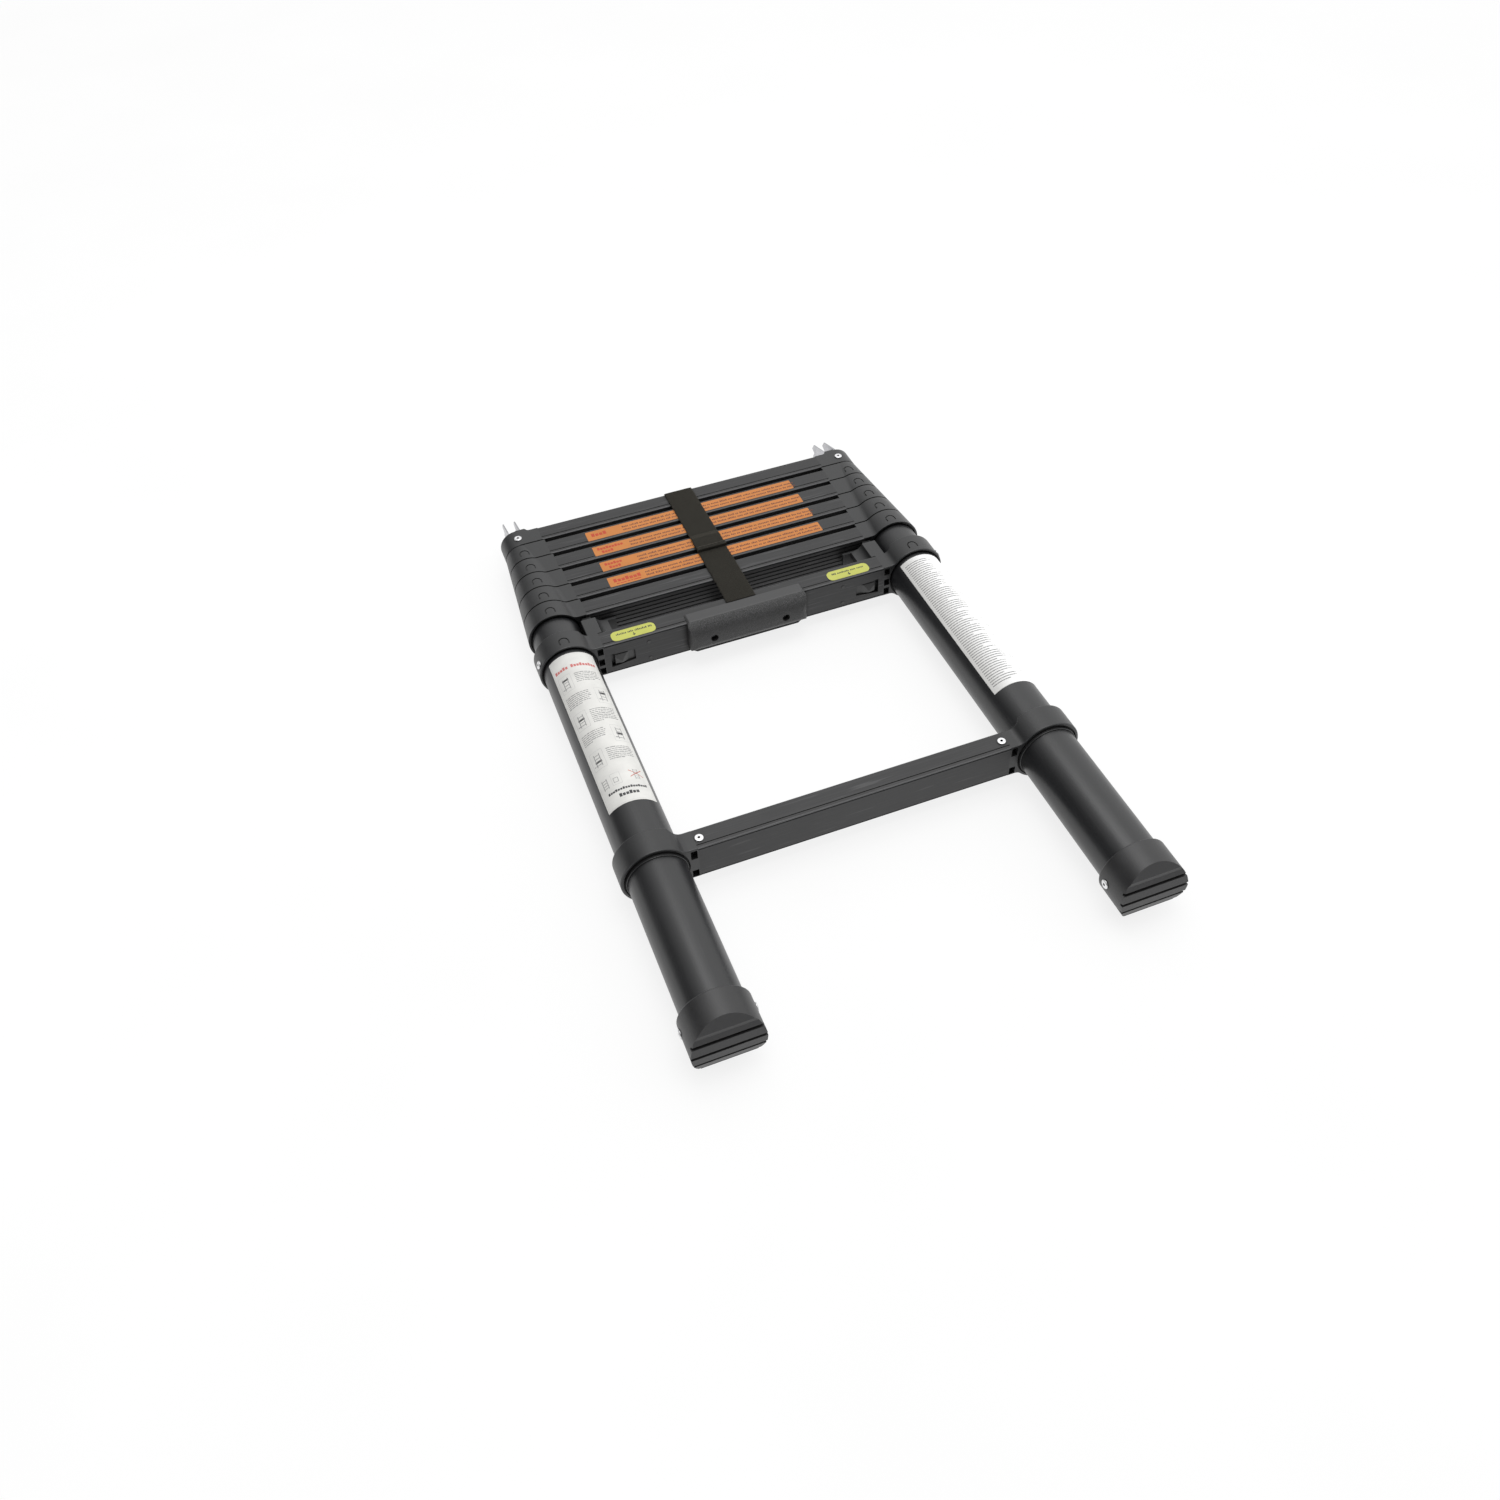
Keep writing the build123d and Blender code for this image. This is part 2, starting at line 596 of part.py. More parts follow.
def thumb_wedge(wall):
    """Raised part of the slide: it rises outwards and falls back at its upper edge."""
    foot_x, ridge_x, end_x = THUMB_X
    low_z, high_z = THUMB_Z
    profile = Polygon((foot_x, wall), (end_x, wall), (end_x, wall - THUMB_HEIGHT / 2),
                      (ridge_x, wall - THUMB_HEIGHT), align=None)
    wedge = extrude(Pos(0, 0, low_z) * profile, high_z - low_z, dir=(0, 0, 1))
    slope = Polygon((wall - THUMB_HEIGHT - 1, low_z + 2), (wall - THUMB_HEIGHT, low_z + 2),
                    (wall - THUMB_TOP_HEIGHT, high_z), (wall - THUMB_TOP_HEIGHT, high_z + 1),
                    (wall - THUMB_HEIGHT - 1, high_z + 1), align=None)
    return wedge - along_x(slope, foot_x - 1, end_x + 1)


def release_plate():
    """Thumb slide behind the window, with the lug that draws the pin."""
    wall = rung_front(BASE_STAGE) + RUNG_WALL + PLATE_CLEAR
    plate = block(*PLATE_X, wall, wall + PLATE_THICK, *PLATE_Z) + thumb_wedge(wall)
    middle = rung_middle(BASE_STAGE)
    lug = block(*LUG_X, wall + PLATE_THICK, middle + LUG_HALF, -LUG_HALF, LUG_HALF)
    return plate + lug - rod_x(PIN_R + GLUE_GAP / 2, LUG_X[0] - 1, LUG_X[1] + 1, middle)


def latch_channel():
    """Room in the spigot of collar 2 for the plate and its travel."""
    front = rung_front(BASE_STAGE)
    end = rung_end(BASE_STAGE)
    depth = RUNG_WALL + 2 * PLATE_CLEAR + PLATE_THICK
    return block(end - SPIGOT_LENGTH - 1, end, front, front + depth, PLATE_Z[0] - 1, PLATE_Z[1] + 1)


def lock_pin(stage):
    """Spring pin that holds the next tube, drawn back from its wall."""
    tip = STILE_X - tube_radius(stage + 1) - PIN_TO_TUBE
    pin = rod_x(PIN_R, tip - PIN_LENGTH, tip, rung_middle(stage))
    return chamfer(pin.edges().sort_by(Axis.X)[-1], 1)


def latch_pin():
    """Longer lock pin of rung 2, which reaches the lug of the release plate."""
    tip = STILE_X - tube_radius(BASE_STAGE + 1) - PIN_TO_TUBE
    pin = rod_x(PIN_R, LUG_X[0] - 2, tip, rung_middle(BASE_STAGE))
    return chamfer(pin.edges().sort_by(Axis.X)[-1], 1)


def latch_block():
    """Buffer that the stack lands on, with the hollow slope that trips the next lock."""
    start = rung_front(BASE_STAGE) + RUNG_DEPTH
    body = block(*BLOCK_X, start, BLOCK_END, -RUNG_TOP + 1, RUNG_TOP)
    body = fillet(body.edges().filter_by(Axis.Y).sort_by(Axis.Z)[-2:], BLOCK_EDGE_R)
    body += block(*POST_X, BLOCK_END - 1, POST_END, -RUNG_TOP + 1, POST_TOP_Z)
    top = (BLOCK_X[0], RUNG_TOP - BLOCK_EDGE_R)
    slope = Spline(top, *SCOOP_LINE, tangents=((-0.5, -1), (-1, -0.1)))
    sides = Polyline(SCOOP_LINE[-1], (SCOOP_LINE[-1][0], SCOOP_FLOOR_Z),
                     (BLOCK_X[0] + 1, SCOOP_FLOOR_Z), (BLOCK_X[0] + 1, top[1]), top)
    body += along_y(make_face(slope + sides), *SCOOP_Y)
    body += block(*FIN_X, *FIN_Y, *FIN_Z)
    body -= rod_y(BASE_TUBE_R + GLUE_GAP, start - 1, tube_end(BASE_STAGE) + GLUE_GAP)
    return body - rod_y(tube_radius(BASE_STAGE + 1) + SLIDE_GAP, start - 1, POST_END + 1)


def release_window():
    """Opening for the thumb slide, taller at its outer end."""
    inner_x, outer_x = WINDOW_X
    front = rung_front(BASE_STAGE)
    outline = Polygon((inner_x, WINDOW_INNER_Z[0]), (outer_x, WINDOW_OUTER_Z[0]),
                      (outer_x, WINDOW_OUTER_Z[1]), (inner_x, WINDOW_INNER_Z[1]), align=None)
    return along_y(outline, front - 1, front + RUNG_WALL + 1)


def rung_2():
    """Rung with the windows of the release slides and the screw holes."""
    body = rung(BASE_STAGE)
    front = rung_front(BASE_STAGE)
    for side in (1, -1):
        window = release_window()
        body -= window if side == 1 else mirrored(window)
        for z in LATCH_RIVET_Z:
            body -= rod_y(LATCH_RIVET_R + GLUE_GAP, front - 1, front + 2, side * LATCH_RIVET_X, z)
    for x in HANDLE_SCREWS_X:
        body -= rod_y(SCREW_SHANK_R + GLUE_GAP, front - 1, front + 2, x)
    return body


def latch_rivet(x, z):
    """Low black rivet, flush with the wall inside, clear of the slide."""
    front = rung_front(BASE_STAGE)
    return rod_y(LATCH_RIVET_R, front - LATCH_RIVET_PROUD, front + RUNG_WALL, x, z)


# ======================================================================
# Hooks at the top
# ======================================================================
HOOK_WEB_Z = 11.6
HOOK_LOW_Z = -12.0
BLADE_SHOULDER_Y = 548.0
BLADE_TIP = ((580.0, 1.5), (HOOK_TIP, -6.0), (577.5, -9.0), (582.0, -16.5), (567.0, -15.0))
BLADE_HEEL_Y = 545.0


def hook():
    """Sheet-metal channel in the top tube with two barbed blades."""
    blade = Polygon((HOOK_START, HOOK_WEB_Z), (BLADE_SHOULDER_Y, HOOK_WEB_Z), *BLADE_TIP,
                    (BLADE_HEEL_Y, HOOK_LOW_Z), (HOOK_START, HOOK_LOW_Z), align=None)
    bracket = block(STILE_X - HOOK_HALF_WIDTH, STILE_X + HOOK_HALF_WIDTH, HOOK_START,
                    rung_front(RUNG_COUNT) + CAP_HEIGHT, HOOK_WEB_Z - HOOK_SHEET, HOOK_WEB_Z)
    for side in (1, -1):
        inner = STILE_X + side * (HOOK_HALF_WIDTH - HOOK_SHEET)
        outer = STILE_X + side * HOOK_HALF_WIDTH
        bracket += along_x(blade, min(inner, outer), max(inner, outer))
    return bracket - TOP_RIVET_PLACE * rivet_bore()


# ======================================================================
# Strap
# ======================================================================
def strap_piece(outline):
    return along_x(outline, STRAP_X - STRAP_WIDTH / 2, STRAP_X + STRAP_WIDTH / 2)


def strap_lower():
    """Short end of the strap, from the handle to under the overlap."""
    low = RUNG_TOP + STRAP_CLEAR
    start = rung_front(BASE_STAGE) + HANDLE_FLANGE + STRAP_CLEAR
    length = STRAP_OVERLAP_END - start
    return strap_piece(Pos(start + length / 2, low + STRAP_THICK / 2) * Rectangle(length, STRAP_THICK))


def strap_upper():
    """Long end, over the stack, round the top rung and back underneath."""
    low = RUNG_TOP + STRAP_CLEAR
    raised = low + STRAP_THICK + STRAP_CLEAR
    slope_start = STRAP_OVERLAP_END + STRAP_STEP[0]
    slope_end = slope_start + STRAP_STEP[1]
    back = rung_front(RUNG_COUNT) + RUNG_DEPTH + STRAP_CLEAR
    outer = back + STRAP_THICK
    high = low + STRAP_THICK
    under_start = rung_front(BASE_STAGE) + RUNG_DEPTH + STRAP_UNDER_START
    outline = Polygon((STRAP_OVERLAP_START, raised), (slope_start, raised), (slope_end, low), (back, low),
                      (back, -low), (under_start, -low), (under_start, -high), (outer, -high),
                      (outer, high), (slope_end, high), (slope_start, raised + STRAP_THICK),
                      (STRAP_OVERLAP_START, raised + STRAP_THICK), align=None)
    return strap_piece(outline)


# ======================================================================
# All nodes
# ======================================================================
export_tubes()
export_pair("foot", foot())
export_rivets()

rung_rivet_hole = RUNG_RIVET_PLACE * rivet_bore()
export_node("rung_1", rung(1) - rung_rivet_hole - mirrored(rung_rivet_hole))
export_pair("collar_1", base_collar())

export_node("rung_2", rung_2())
export_pair("collar_2", stage_collar(BASE_STAGE) - latch_channel()
            - COLLAR_RIVET_PLACE * rivet_bore())
export_pair("release_slide", release_plate())
export_pair("lock_pin_2", latch_pin())
export_pair("latch_block", latch_block())
export_node("latch_rivets", *[latch_rivet(side * LATCH_RIVET_X, z)
                              for side in (1, -1) for z in LATCH_RIVET_Z])
export_node("handle", handle())
export_node("handle_screws", *[handle_screw(x) for x in HANDLE_SCREWS_X])

for stage in STAGES:
    export_node(f"rung_{stage}", rung(stage))
    if stage < RUNG_COUNT:
        export_pair(f"collar_{stage}", stage_collar(stage))
        export_pair(f"lock_pin_{stage}", lock_pin(stage))
export_pair("top_cap", top_cap())
export_pair("hook", hook())

export_node("strap_lower", strap_lower())
export_node("strap_upper", strap_upper())
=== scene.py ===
"""Looks of a telescopic ladder: materials, labels, strap, floor, light and camera.

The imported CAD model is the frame.  Everything is in metres in its axes: X along the rungs,
Y from the feet to the top hooks, Z up, with the closed ladder lying on Z = 0.
"""
import json
import math
import random

import bmesh
import bpy
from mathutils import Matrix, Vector

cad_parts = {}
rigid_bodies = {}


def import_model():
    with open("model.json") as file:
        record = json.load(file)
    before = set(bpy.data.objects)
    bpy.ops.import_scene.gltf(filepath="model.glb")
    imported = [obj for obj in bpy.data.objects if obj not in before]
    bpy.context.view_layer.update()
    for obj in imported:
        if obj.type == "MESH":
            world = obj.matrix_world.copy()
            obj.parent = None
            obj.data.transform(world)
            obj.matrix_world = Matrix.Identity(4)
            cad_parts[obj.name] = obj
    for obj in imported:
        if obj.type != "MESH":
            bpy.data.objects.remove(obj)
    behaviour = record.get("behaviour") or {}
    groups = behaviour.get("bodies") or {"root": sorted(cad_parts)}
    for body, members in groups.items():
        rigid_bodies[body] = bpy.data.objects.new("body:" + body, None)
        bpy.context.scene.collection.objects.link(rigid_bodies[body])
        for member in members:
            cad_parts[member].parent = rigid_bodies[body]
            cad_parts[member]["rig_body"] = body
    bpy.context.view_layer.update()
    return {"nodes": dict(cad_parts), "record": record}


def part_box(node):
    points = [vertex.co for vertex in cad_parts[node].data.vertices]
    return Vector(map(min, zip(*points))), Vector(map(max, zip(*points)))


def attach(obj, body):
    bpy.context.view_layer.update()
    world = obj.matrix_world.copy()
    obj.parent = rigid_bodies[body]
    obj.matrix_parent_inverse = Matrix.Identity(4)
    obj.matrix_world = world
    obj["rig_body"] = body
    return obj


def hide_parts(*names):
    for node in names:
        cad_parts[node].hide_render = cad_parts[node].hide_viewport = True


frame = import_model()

MM = 0.001

# The camera that matches the photograph's viewing angle.
CAMERA_AT = (-0.35488, -0.92821, 1.00152)
CAMERA_TURN = (42.8066, 2.1328, -20.9587)
CAMERA_LENS = 31.306
SENSOR = 36.0


# ======================================================================
# Node helpers
# ======================================================================
def add_node(tree, kind, inputs=None, **settings):
    """Adds a node, sets its properties, and links or sets its inputs."""
    made = tree.nodes.new(kind)
    for key, value in settings.items():
        setattr(made, key, value)
    for key, value in (inputs or {}).items():
        if isinstance(value, bpy.types.NodeSocket):
            tree.links.new(value, made.inputs[key])
        else:
            made.inputs[key].default_value = value
    return made


def math_node(tree, operation, first, second=0.0):
    made = add_node(tree, "ShaderNodeMath", {0: first, 1: second}, operation=operation)
    return made.outputs[0]


def new_material(name, **sockets):
    """A material with its Principled shader's constants set on its own sockets."""
    material = bpy.data.materials.new(name)
    material.use_nodes = True
    tree = material.node_tree
    shader = tree.nodes["Principled BSDF"]
    for key, value in sockets.items():
        shader.inputs[key.replace("_", " ")].default_value = value
    return material, tree, shader


def object_coords(tree, stretch=(1, 1, 1)):
    """Places on the part's own surface, in metres, squeezed by stretch."""
    coords = add_node(tree, "ShaderNodeTexCoord").outputs["Object"]
    mapping = add_node(tree, "ShaderNodeMapping", {"Vector": coords, "Scale": stretch})
    return mapping.outputs["Vector"]


def noise(tree, coords, scale, detail=3.0, roughness=0.55):
    made = add_node(tree, "ShaderNodeTexNoise",
                    {"Vector": coords, "Scale": scale, "Detail": detail, "Roughness": roughness})
    return made.outputs["Fac"]


def spread(tree, value, low, high, from_low=0.3, from_high=0.7):
    """Maps a texture's value to a range."""
    made = add_node(tree, "ShaderNodeMapRange",
                    {"Value": value, "From Min": from_low, "From Max": from_high,
                     "To Min": low, "To Max": high})
    return made.outputs["Result"]


def mix_colour(tree, share, first, second):
    made = add_node(tree, "ShaderNodeMix", {"Factor": share}, data_type="RGBA")
    for socket, value in ((made.inputs[6], first), (made.inputs[7], second)):
        if isinstance(value, bpy.types.NodeSocket):
            tree.links.new(value, socket)
        else:
            socket.default_value = (*value, 1.0)
    return made.outputs[2]


def bump(tree, height, distance, strength=1.0, below=None):
    inputs = {"Height": height, "Distance": distance, "Strength": strength}
    if below is not None:
        inputs["Normal"] = below
    return add_node(tree, "ShaderNodeBump", inputs).outputs["Normal"]


def corner_glint(tree, axis):
    """1 on the rounded edges between two faces, 0 on faces that look along an axis."""
    facing = add_node(tree, "ShaderNodeTexCoord").outputs["Normal"]
    part = add_node(tree, "ShaderNodeSeparateXYZ", {"Vector": facing}).outputs[axis]
    square = math_node(tree, "MULTIPLY", part, part)
    rest = math_node(tree, "SUBTRACT", 1.0, square)
    return math_node(tree, "MULTIPLY", math_node(tree, "MULTIPLY", square, rest), 4.0)


def crevice_shade(tree, reach, low=0.35, high=0.92):
    """1 deep in grooves, gaps and holes, 0 on open faces, found by ambient occlusion; colours mixed
    in by it are painted shade.
    """
    made = add_node(tree, "ShaderNodeAmbientOcclusion", {"Distance": reach}, samples=6)
    return spread(tree, made.outputs["AO"], 1.0, 0.0, low, high)


def finish_shader(tree, shader, colour, roughness, normal):
    tree.links.new(colour, shader.inputs["Base Color"])
    tree.links.new(roughness, shader.inputs["Roughness"])
    tree.links.new(normal, shader.inputs["Normal"])


# ======================================================================
# Materials of the CAD nodes
# ======================================================================
def coated_tube():
    """Black anodised tube: satin, with faint lines along it from drawing and sliding."""
    material, tree, shader = new_material("tube_black", Metallic=0.0, IOR=1.5,
                                          Specular_IOR_Level=0.70)
    coords = object_coords(tree)
    drawn = object_coords(tree, (1.0, 0.012, 1.0))
    patches = spread(tree, noise(tree, coords, 14.0), 0.0, 1.0)
    lines = noise(tree, drawn, 1400.0, 2.0)
    colour = mix_colour(tree, patches, (0.0105, 0.0109, 0.0120), (0.0140, 0.0144, 0.0157))
    drawn_share = spread(tree, lines, 0.0, 0.35, 0.55, 0.8)
    colour = mix_colour(tree, drawn_share, colour, (0.030, 0.030, 0.032))
    # Painted shade: darker where ambient occlusion finds crevices.
    colour = mix_colour(tree, crevice_shade(tree, 0.004), colour, (0.003, 0.003, 0.003))
    roughness = math_node(tree, "ADD", spread(tree, lines, 0.30, 0.36),
                          spread(tree, patches, 0.0, 0.05, 0.0, 1.0))
    grain = bump(tree, noise(tree, coords, 2600.0, 2.0), 0.00004, 0.25)
    normal = bump(tree, lines, 0.00003, 0.25, grain)
    finish_shader(tree, shader, colour, roughness, normal)
    return material


def coated_rung():
    """Black coated extrusion: brushed lines along it, painted edge highlights, painted groove
    shade.
    """
    material, tree, shader = new_material("rung_black", Metallic=0.0, IOR=1.5,
                                          Specular_IOR_Level=0.58)
    coords = object_coords(tree)
    along = object_coords(tree, (0.012, 1.0, 1.0))
    streaks = object_coords(tree, (0.05, 1.0, 1.0))
    patches = spread(tree, noise(tree, coords, 18.0), 0.0, 1.0)
    lines = noise(tree, along, 700.0, 3.0, 0.7)
    scratches = noise(tree, streaks, 420.0, 2.0, 0.4)
    colour = mix_colour(tree, patches, (0.013, 0.013, 0.014), (0.018, 0.018, 0.019))
    brushed = spread(tree, lines, 0.0, 0.8, 0.46, 0.72)
    colour = mix_colour(tree, brushed, colour, (0.042, 0.042, 0.043))
    scratched = spread(tree, scratches, 0.0, 0.6, 0.62, 0.72)
    colour = mix_colour(tree, scratched, colour, (0.075, 0.075, 0.077))
    # Painted highlight: paler colour on the rounded edges along the rung.
    edge = math_node(tree, "MULTIPLY", corner_glint(tree, "Y"), 0.85)
    colour = mix_colour(tree, edge, colour, (0.15, 0.15, 0.155))
    # Painted shade: darker in grooves and gaps.
    groove_shade = crevice_shade(tree, 0.007, 0.50, 0.93)
    colour = mix_colour(tree, groove_shade, colour, (0.004, 0.0038, 0.0036))
    roughness = math_node(tree, "ADD", spread(tree, lines, 0.42, 0.56),
                          math_node(tree, "MULTIPLY", groove_shade, 0.25))
    normal = bump(tree, lines, 0.00008, 0.35)
    finish_shader(tree, shader, colour, roughness, normal)
    return material


def moulded(name, light, dark, roughness, grain_scale, grain_depth, glint=0.35, warm=(1, 1, 1),
            gloss=0.65):
    """Moulded plastic or rubber: fine grain, cloudy shade, painted edge highlights, painted crevice
    shade.
    """
    material, tree, shader = new_material(name, Metallic=0.0, IOR=1.5, Specular_IOR_Level=gloss)
    coords = object_coords(tree)
    clouds = spread(tree, noise(tree, coords, 35.0, 4.0), 0.0, 1.0)
    grain = noise(tree, coords, grain_scale, 2.0)
    shades = [tuple(level * tint for tint in warm) for level in (dark, light)]
    colour = mix_colour(tree, clouds, *shades)
    # Painted highlight: paler colour on the rounded edges.
    edge = tuple(3.0 * light * tint for tint in warm)
    edge_highlight_share = math_node(tree, "MULTIPLY", corner_glint(tree, "Y"), glint)
    colour = mix_colour(tree, edge_highlight_share, colour, edge)
    # Painted shade: darker in crevices.
    groove_shade = crevice_shade(tree, 0.003)
    colour = mix_colour(tree, groove_shade, colour, (0.0035, 0.0030, 0.0026))
    rough = math_node(tree, "ADD", spread(tree, grain, roughness - 0.05, roughness + 0.05),
                      math_node(tree, "MULTIPLY", groove_shade, 0.35))
    rough = math_node(tree, "ADD", rough, spread(tree, clouds, -0.03, 0.03, 0.0, 1.0))
    normal = bump(tree, grain, grain_depth, 0.5)
    finish_shader(tree, shader, colour, rough, normal)
    return material


def leather_grip():
    """Grip with a pressed leather grain: rounded cells with creases between them."""
    material, tree, shader = new_material("handle_plastic", Metallic=0.0, IOR=1.5,
                                          Specular_IOR_Level=0.75)
    coords = object_coords(tree)
    drift = add_node(tree, "ShaderNodeTexNoise", {"Vector": coords, "Scale": 420.0})
    bent = add_node(tree, "ShaderNodeVectorMath",
                    {0: drift.outputs["Color"], 1: (0.0010, 0.0010, 0.0010), 2: coords},
                    operation="MULTIPLY_ADD")
    cells = add_node(tree, "ShaderNodeTexVoronoi",
                     {"Vector": bent.outputs["Vector"], "Scale": 700.0}, feature="DISTANCE_TO_EDGE")
    facing = add_node(tree, "ShaderNodeTexCoord").outputs["Normal"]
    upward = add_node(tree, "ShaderNodeSeparateXYZ", {"Vector": facing}).outputs["Z"]
    plain = spread(tree, upward, 0.0, 1.0, 0.90, 0.97)
    pads = spread(tree, cells.outputs["Distance"], 0.0, 1.0, 0.0, 0.35)
    pads = math_node(tree, "MAXIMUM", pads, plain)
    fine = noise(tree, coords, 3000.0, 2.0)
    clouds = spread(tree, noise(tree, coords, 30.0), 0.0, 1.0)
    colour = mix_colour(tree, pads, (0.012, 0.012, 0.012), (0.028, 0.028, 0.029))
    cloud_share = math_node(tree, "MULTIPLY", clouds, 0.3)
    colour = mix_colour(tree, cloud_share, colour, (0.036, 0.036, 0.037))
    # Painted highlight along the rounded top edge of the grip.
    ridge_highlight = corner_glint(tree, "Z")
    ridge_highlight = math_node(tree, "MULTIPLY", math_node(tree, "MULTIPLY", ridge_highlight, ridge_highlight), pads)
    ridge_highlight_share = math_node(tree, "MULTIPLY", ridge_highlight, 0.75)
    colour = mix_colour(tree, ridge_highlight_share, colour, (0.100, 0.100, 0.102))
    # Painted shade: darker in crevices.
    groove_shade = crevice_shade(tree, 0.004)
    colour = mix_colour(tree, groove_shade, colour, (0.003, 0.003, 0.003))
    roughness = math_node(tree, "ADD", spread(tree, pads, 0.62, 0.36, 0.0, 1.0),
                          spread(tree, fine, -0.03, 0.03))
    roughness = math_node(tree, "ADD", roughness, math_node(tree, "MULTIPLY", groove_shade, 0.3))
    normal = bump(tree, pads, 0.00022, 0.9, bump(tree, fine, 0.00003, 0.3))
    finish_shader(tree, shader, colour, roughness, normal)
    return material


def bright_metal(name, colour, roughness, line_stretch):
    """Bare metal with rolled or turned lines, small stains and painted shade in crevices."""
    material, tree, shader = new_material(name, Metallic=1.0)
    coords = object_coords(tree)
    rolled = object_coords(tree, line_stretch)
    stains = spread(tree, noise(tree, coords, 120.0, 4.0), 0.0, 1.0)
    lines = noise(tree, rolled, 2200.0, 2.0)
    dull = tuple(0.72 * level for level in colour)
    shade = mix_colour(tree, math_node(tree, "MULTIPLY", stains, 0.5), colour, dull)
    # Painted shade: darker in crevices.
    shade = mix_colour(tree, crevice_shade(tree, 0.0025), shade, (0.02, 0.02, 0.02))
    rough = math_node(tree, "ADD", spread(tree, lines, roughness - 0.05, roughness + 0.08),
                      spread(tree, stains, 0.0, 0.08, 0.0, 1.0))
    finish_shader(tree, shader, shade, rough, bump(tree, lines, 0.00003, 0.4))
    return material


# ======================================================================
# Materials of the strap and the labels
# ======================================================================
def webbing_cloth():
    """Woven hook-and-loop tape: ribs along it, picks across it and a short fuzz."""
    material, tree, shader = new_material("strap_webbing", Metallic=0.0, Specular_IOR_Level=0.15,
                                          Sheen_Weight=0.22, Sheen_Roughness=0.45,
                                          Sheen_Tint=(0.95, 0.88, 0.72, 1.0))
    uv = add_node(tree, "ShaderNodeTexCoord").outputs["UV"]
    parts = add_node(tree, "ShaderNodeSeparateXYZ", {"Vector": uv})
    across, along = parts.outputs["X"], parts.outputs["Y"]

    def wave(value, pitch):
        turns = math_node(tree, "MULTIPLY", value, 2 * math.pi / pitch)
        return math_node(tree, "MULTIPLY_ADD", math_node(tree, "SINE", turns), 0.5)

    ribs = wave(across, 1.05 * MM)
    diagonal = math_node(tree, "ADD", along, math_node(tree, "MULTIPLY", across, 0.35))
    picks = wave(diagonal, 0.9 * MM)
    weave = math_node(tree, "ADD", ribs, math_node(tree, "MULTIPLY", picks, 0.8))
    coords = object_coords(tree)
    fuzz = noise(tree, coords, 1900.0, 3.0, 0.7)
    patches = spread(tree, noise(tree, coords, 42.0), 0.0, 1.0)
    colour = mix_colour(tree, spread(tree, fuzz, 0.0, 1.0, 0.38, 0.66),
                        (0.0080, 0.0073, 0.0058), (0.028, 0.0262, 0.0212))
    colour = mix_colour(tree, math_node(tree, "MULTIPLY", patches, 0.35), colour,
                        (0.021, 0.0197, 0.0160))
    # Painted shade: darker in crevices.
    colour = mix_colour(tree, crevice_shade(tree, 0.003), colour, (0.003, 0.0027, 0.002))
    roughness = spread(tree, fuzz, 0.80, 0.95)
    normal = bump(tree, weave, 0.00022, 0.6, bump(tree, fuzz, 0.00035, 0.6))
    finish_shader(tree, shader, colour, roughness, normal)
    return material


def vinyl(name, colour, roughness=0.38):
    """Printed film: slightly uneven colour, orange-peel gloss and faint rub marks."""
    material, tree, shader = new_material(name, Metallic=0.0, IOR=1.48, Specular_IOR_Level=0.4)
    coords = object_coords(tree)
    clouds = spread(tree, noise(tree, coords, 60.0, 3.0), 0.0, 1.0)
    rubs = noise(tree, object_coords(tree, (0.2, 1.0, 1.0)), 700.0, 2.0)
    darker = tuple(0.90 * level for level in colour)
    shade = mix_colour(tree, clouds, darker, colour)
    shade = mix_colour(tree, spread(tree, rubs, 0.0, 0.4, 0.64, 0.75), shade,
                       tuple(0.75 * level for level in colour))
    rough = spread(tree, noise(tree, coords, 900.0, 2.0), roughness - 0.04, roughness + 0.06)
    normal = bump(tree, noise(tree, coords, 420.0, 2.0), 0.00003, 0.3)
    finish_shader(tree, shader, shade, rough, normal)
    return material


def sunlit_film():
    """White film that pales towards the side that faces the light."""
    material, tree, shader = new_material("label_white_right", Metallic=0.0, IOR=1.48,
                                          Specular_IOR_Level=0.4)
    coords = object_coords(tree)
    facing = add_node(tree, "ShaderNodeTexCoord").outputs["Normal"]
    across = add_node(tree, "ShaderNodeSeparateXYZ", {"Vector": facing}).outputs["X"]
    pale = spread(tree, across, 0.0, 1.0, -0.55, 0.05)
    clouds = spread(tree, noise(tree, coords, 60.0, 3.0), 0.0, 1.0)
    shade = mix_colour(tree, clouds, (0.80, 0.795, 0.775), (0.86, 0.855, 0.835))
    shade = mix_colour(tree, pale, shade, (1.0, 1.0, 1.0))
    rough = spread(tree, noise(tree, coords, 900.0, 2.0), 0.34, 0.44)
    normal = bump(tree, noise(tree, coords, 420.0, 2.0), 0.00003, 0.3)
    finish_shader(tree, shader, shade, rough, normal)
    return material


def printing_ink(name, colour):
    """Thin ink with a broken edge where the film shows through."""
    material, tree, shader = new_material(name, Metallic=0.0, Specular_IOR_Level=0.35)
    coords = object_coords(tree)
    blots = spread(tree, noise(tree, coords, 1500.0, 2.0), 0.0, 1.0)
    paler = tuple(min(1.0, 1.5 * level + 0.02) for level in colour)
    shade = mix_colour(tree, blots, colour, paler)
    rough = spread(tree, blots, 0.45, 0.55, 0.0, 1.0)
    finish_shader(tree, shader, shade, rough, bump(tree, blots, 0.00002, 0.3))
    return material


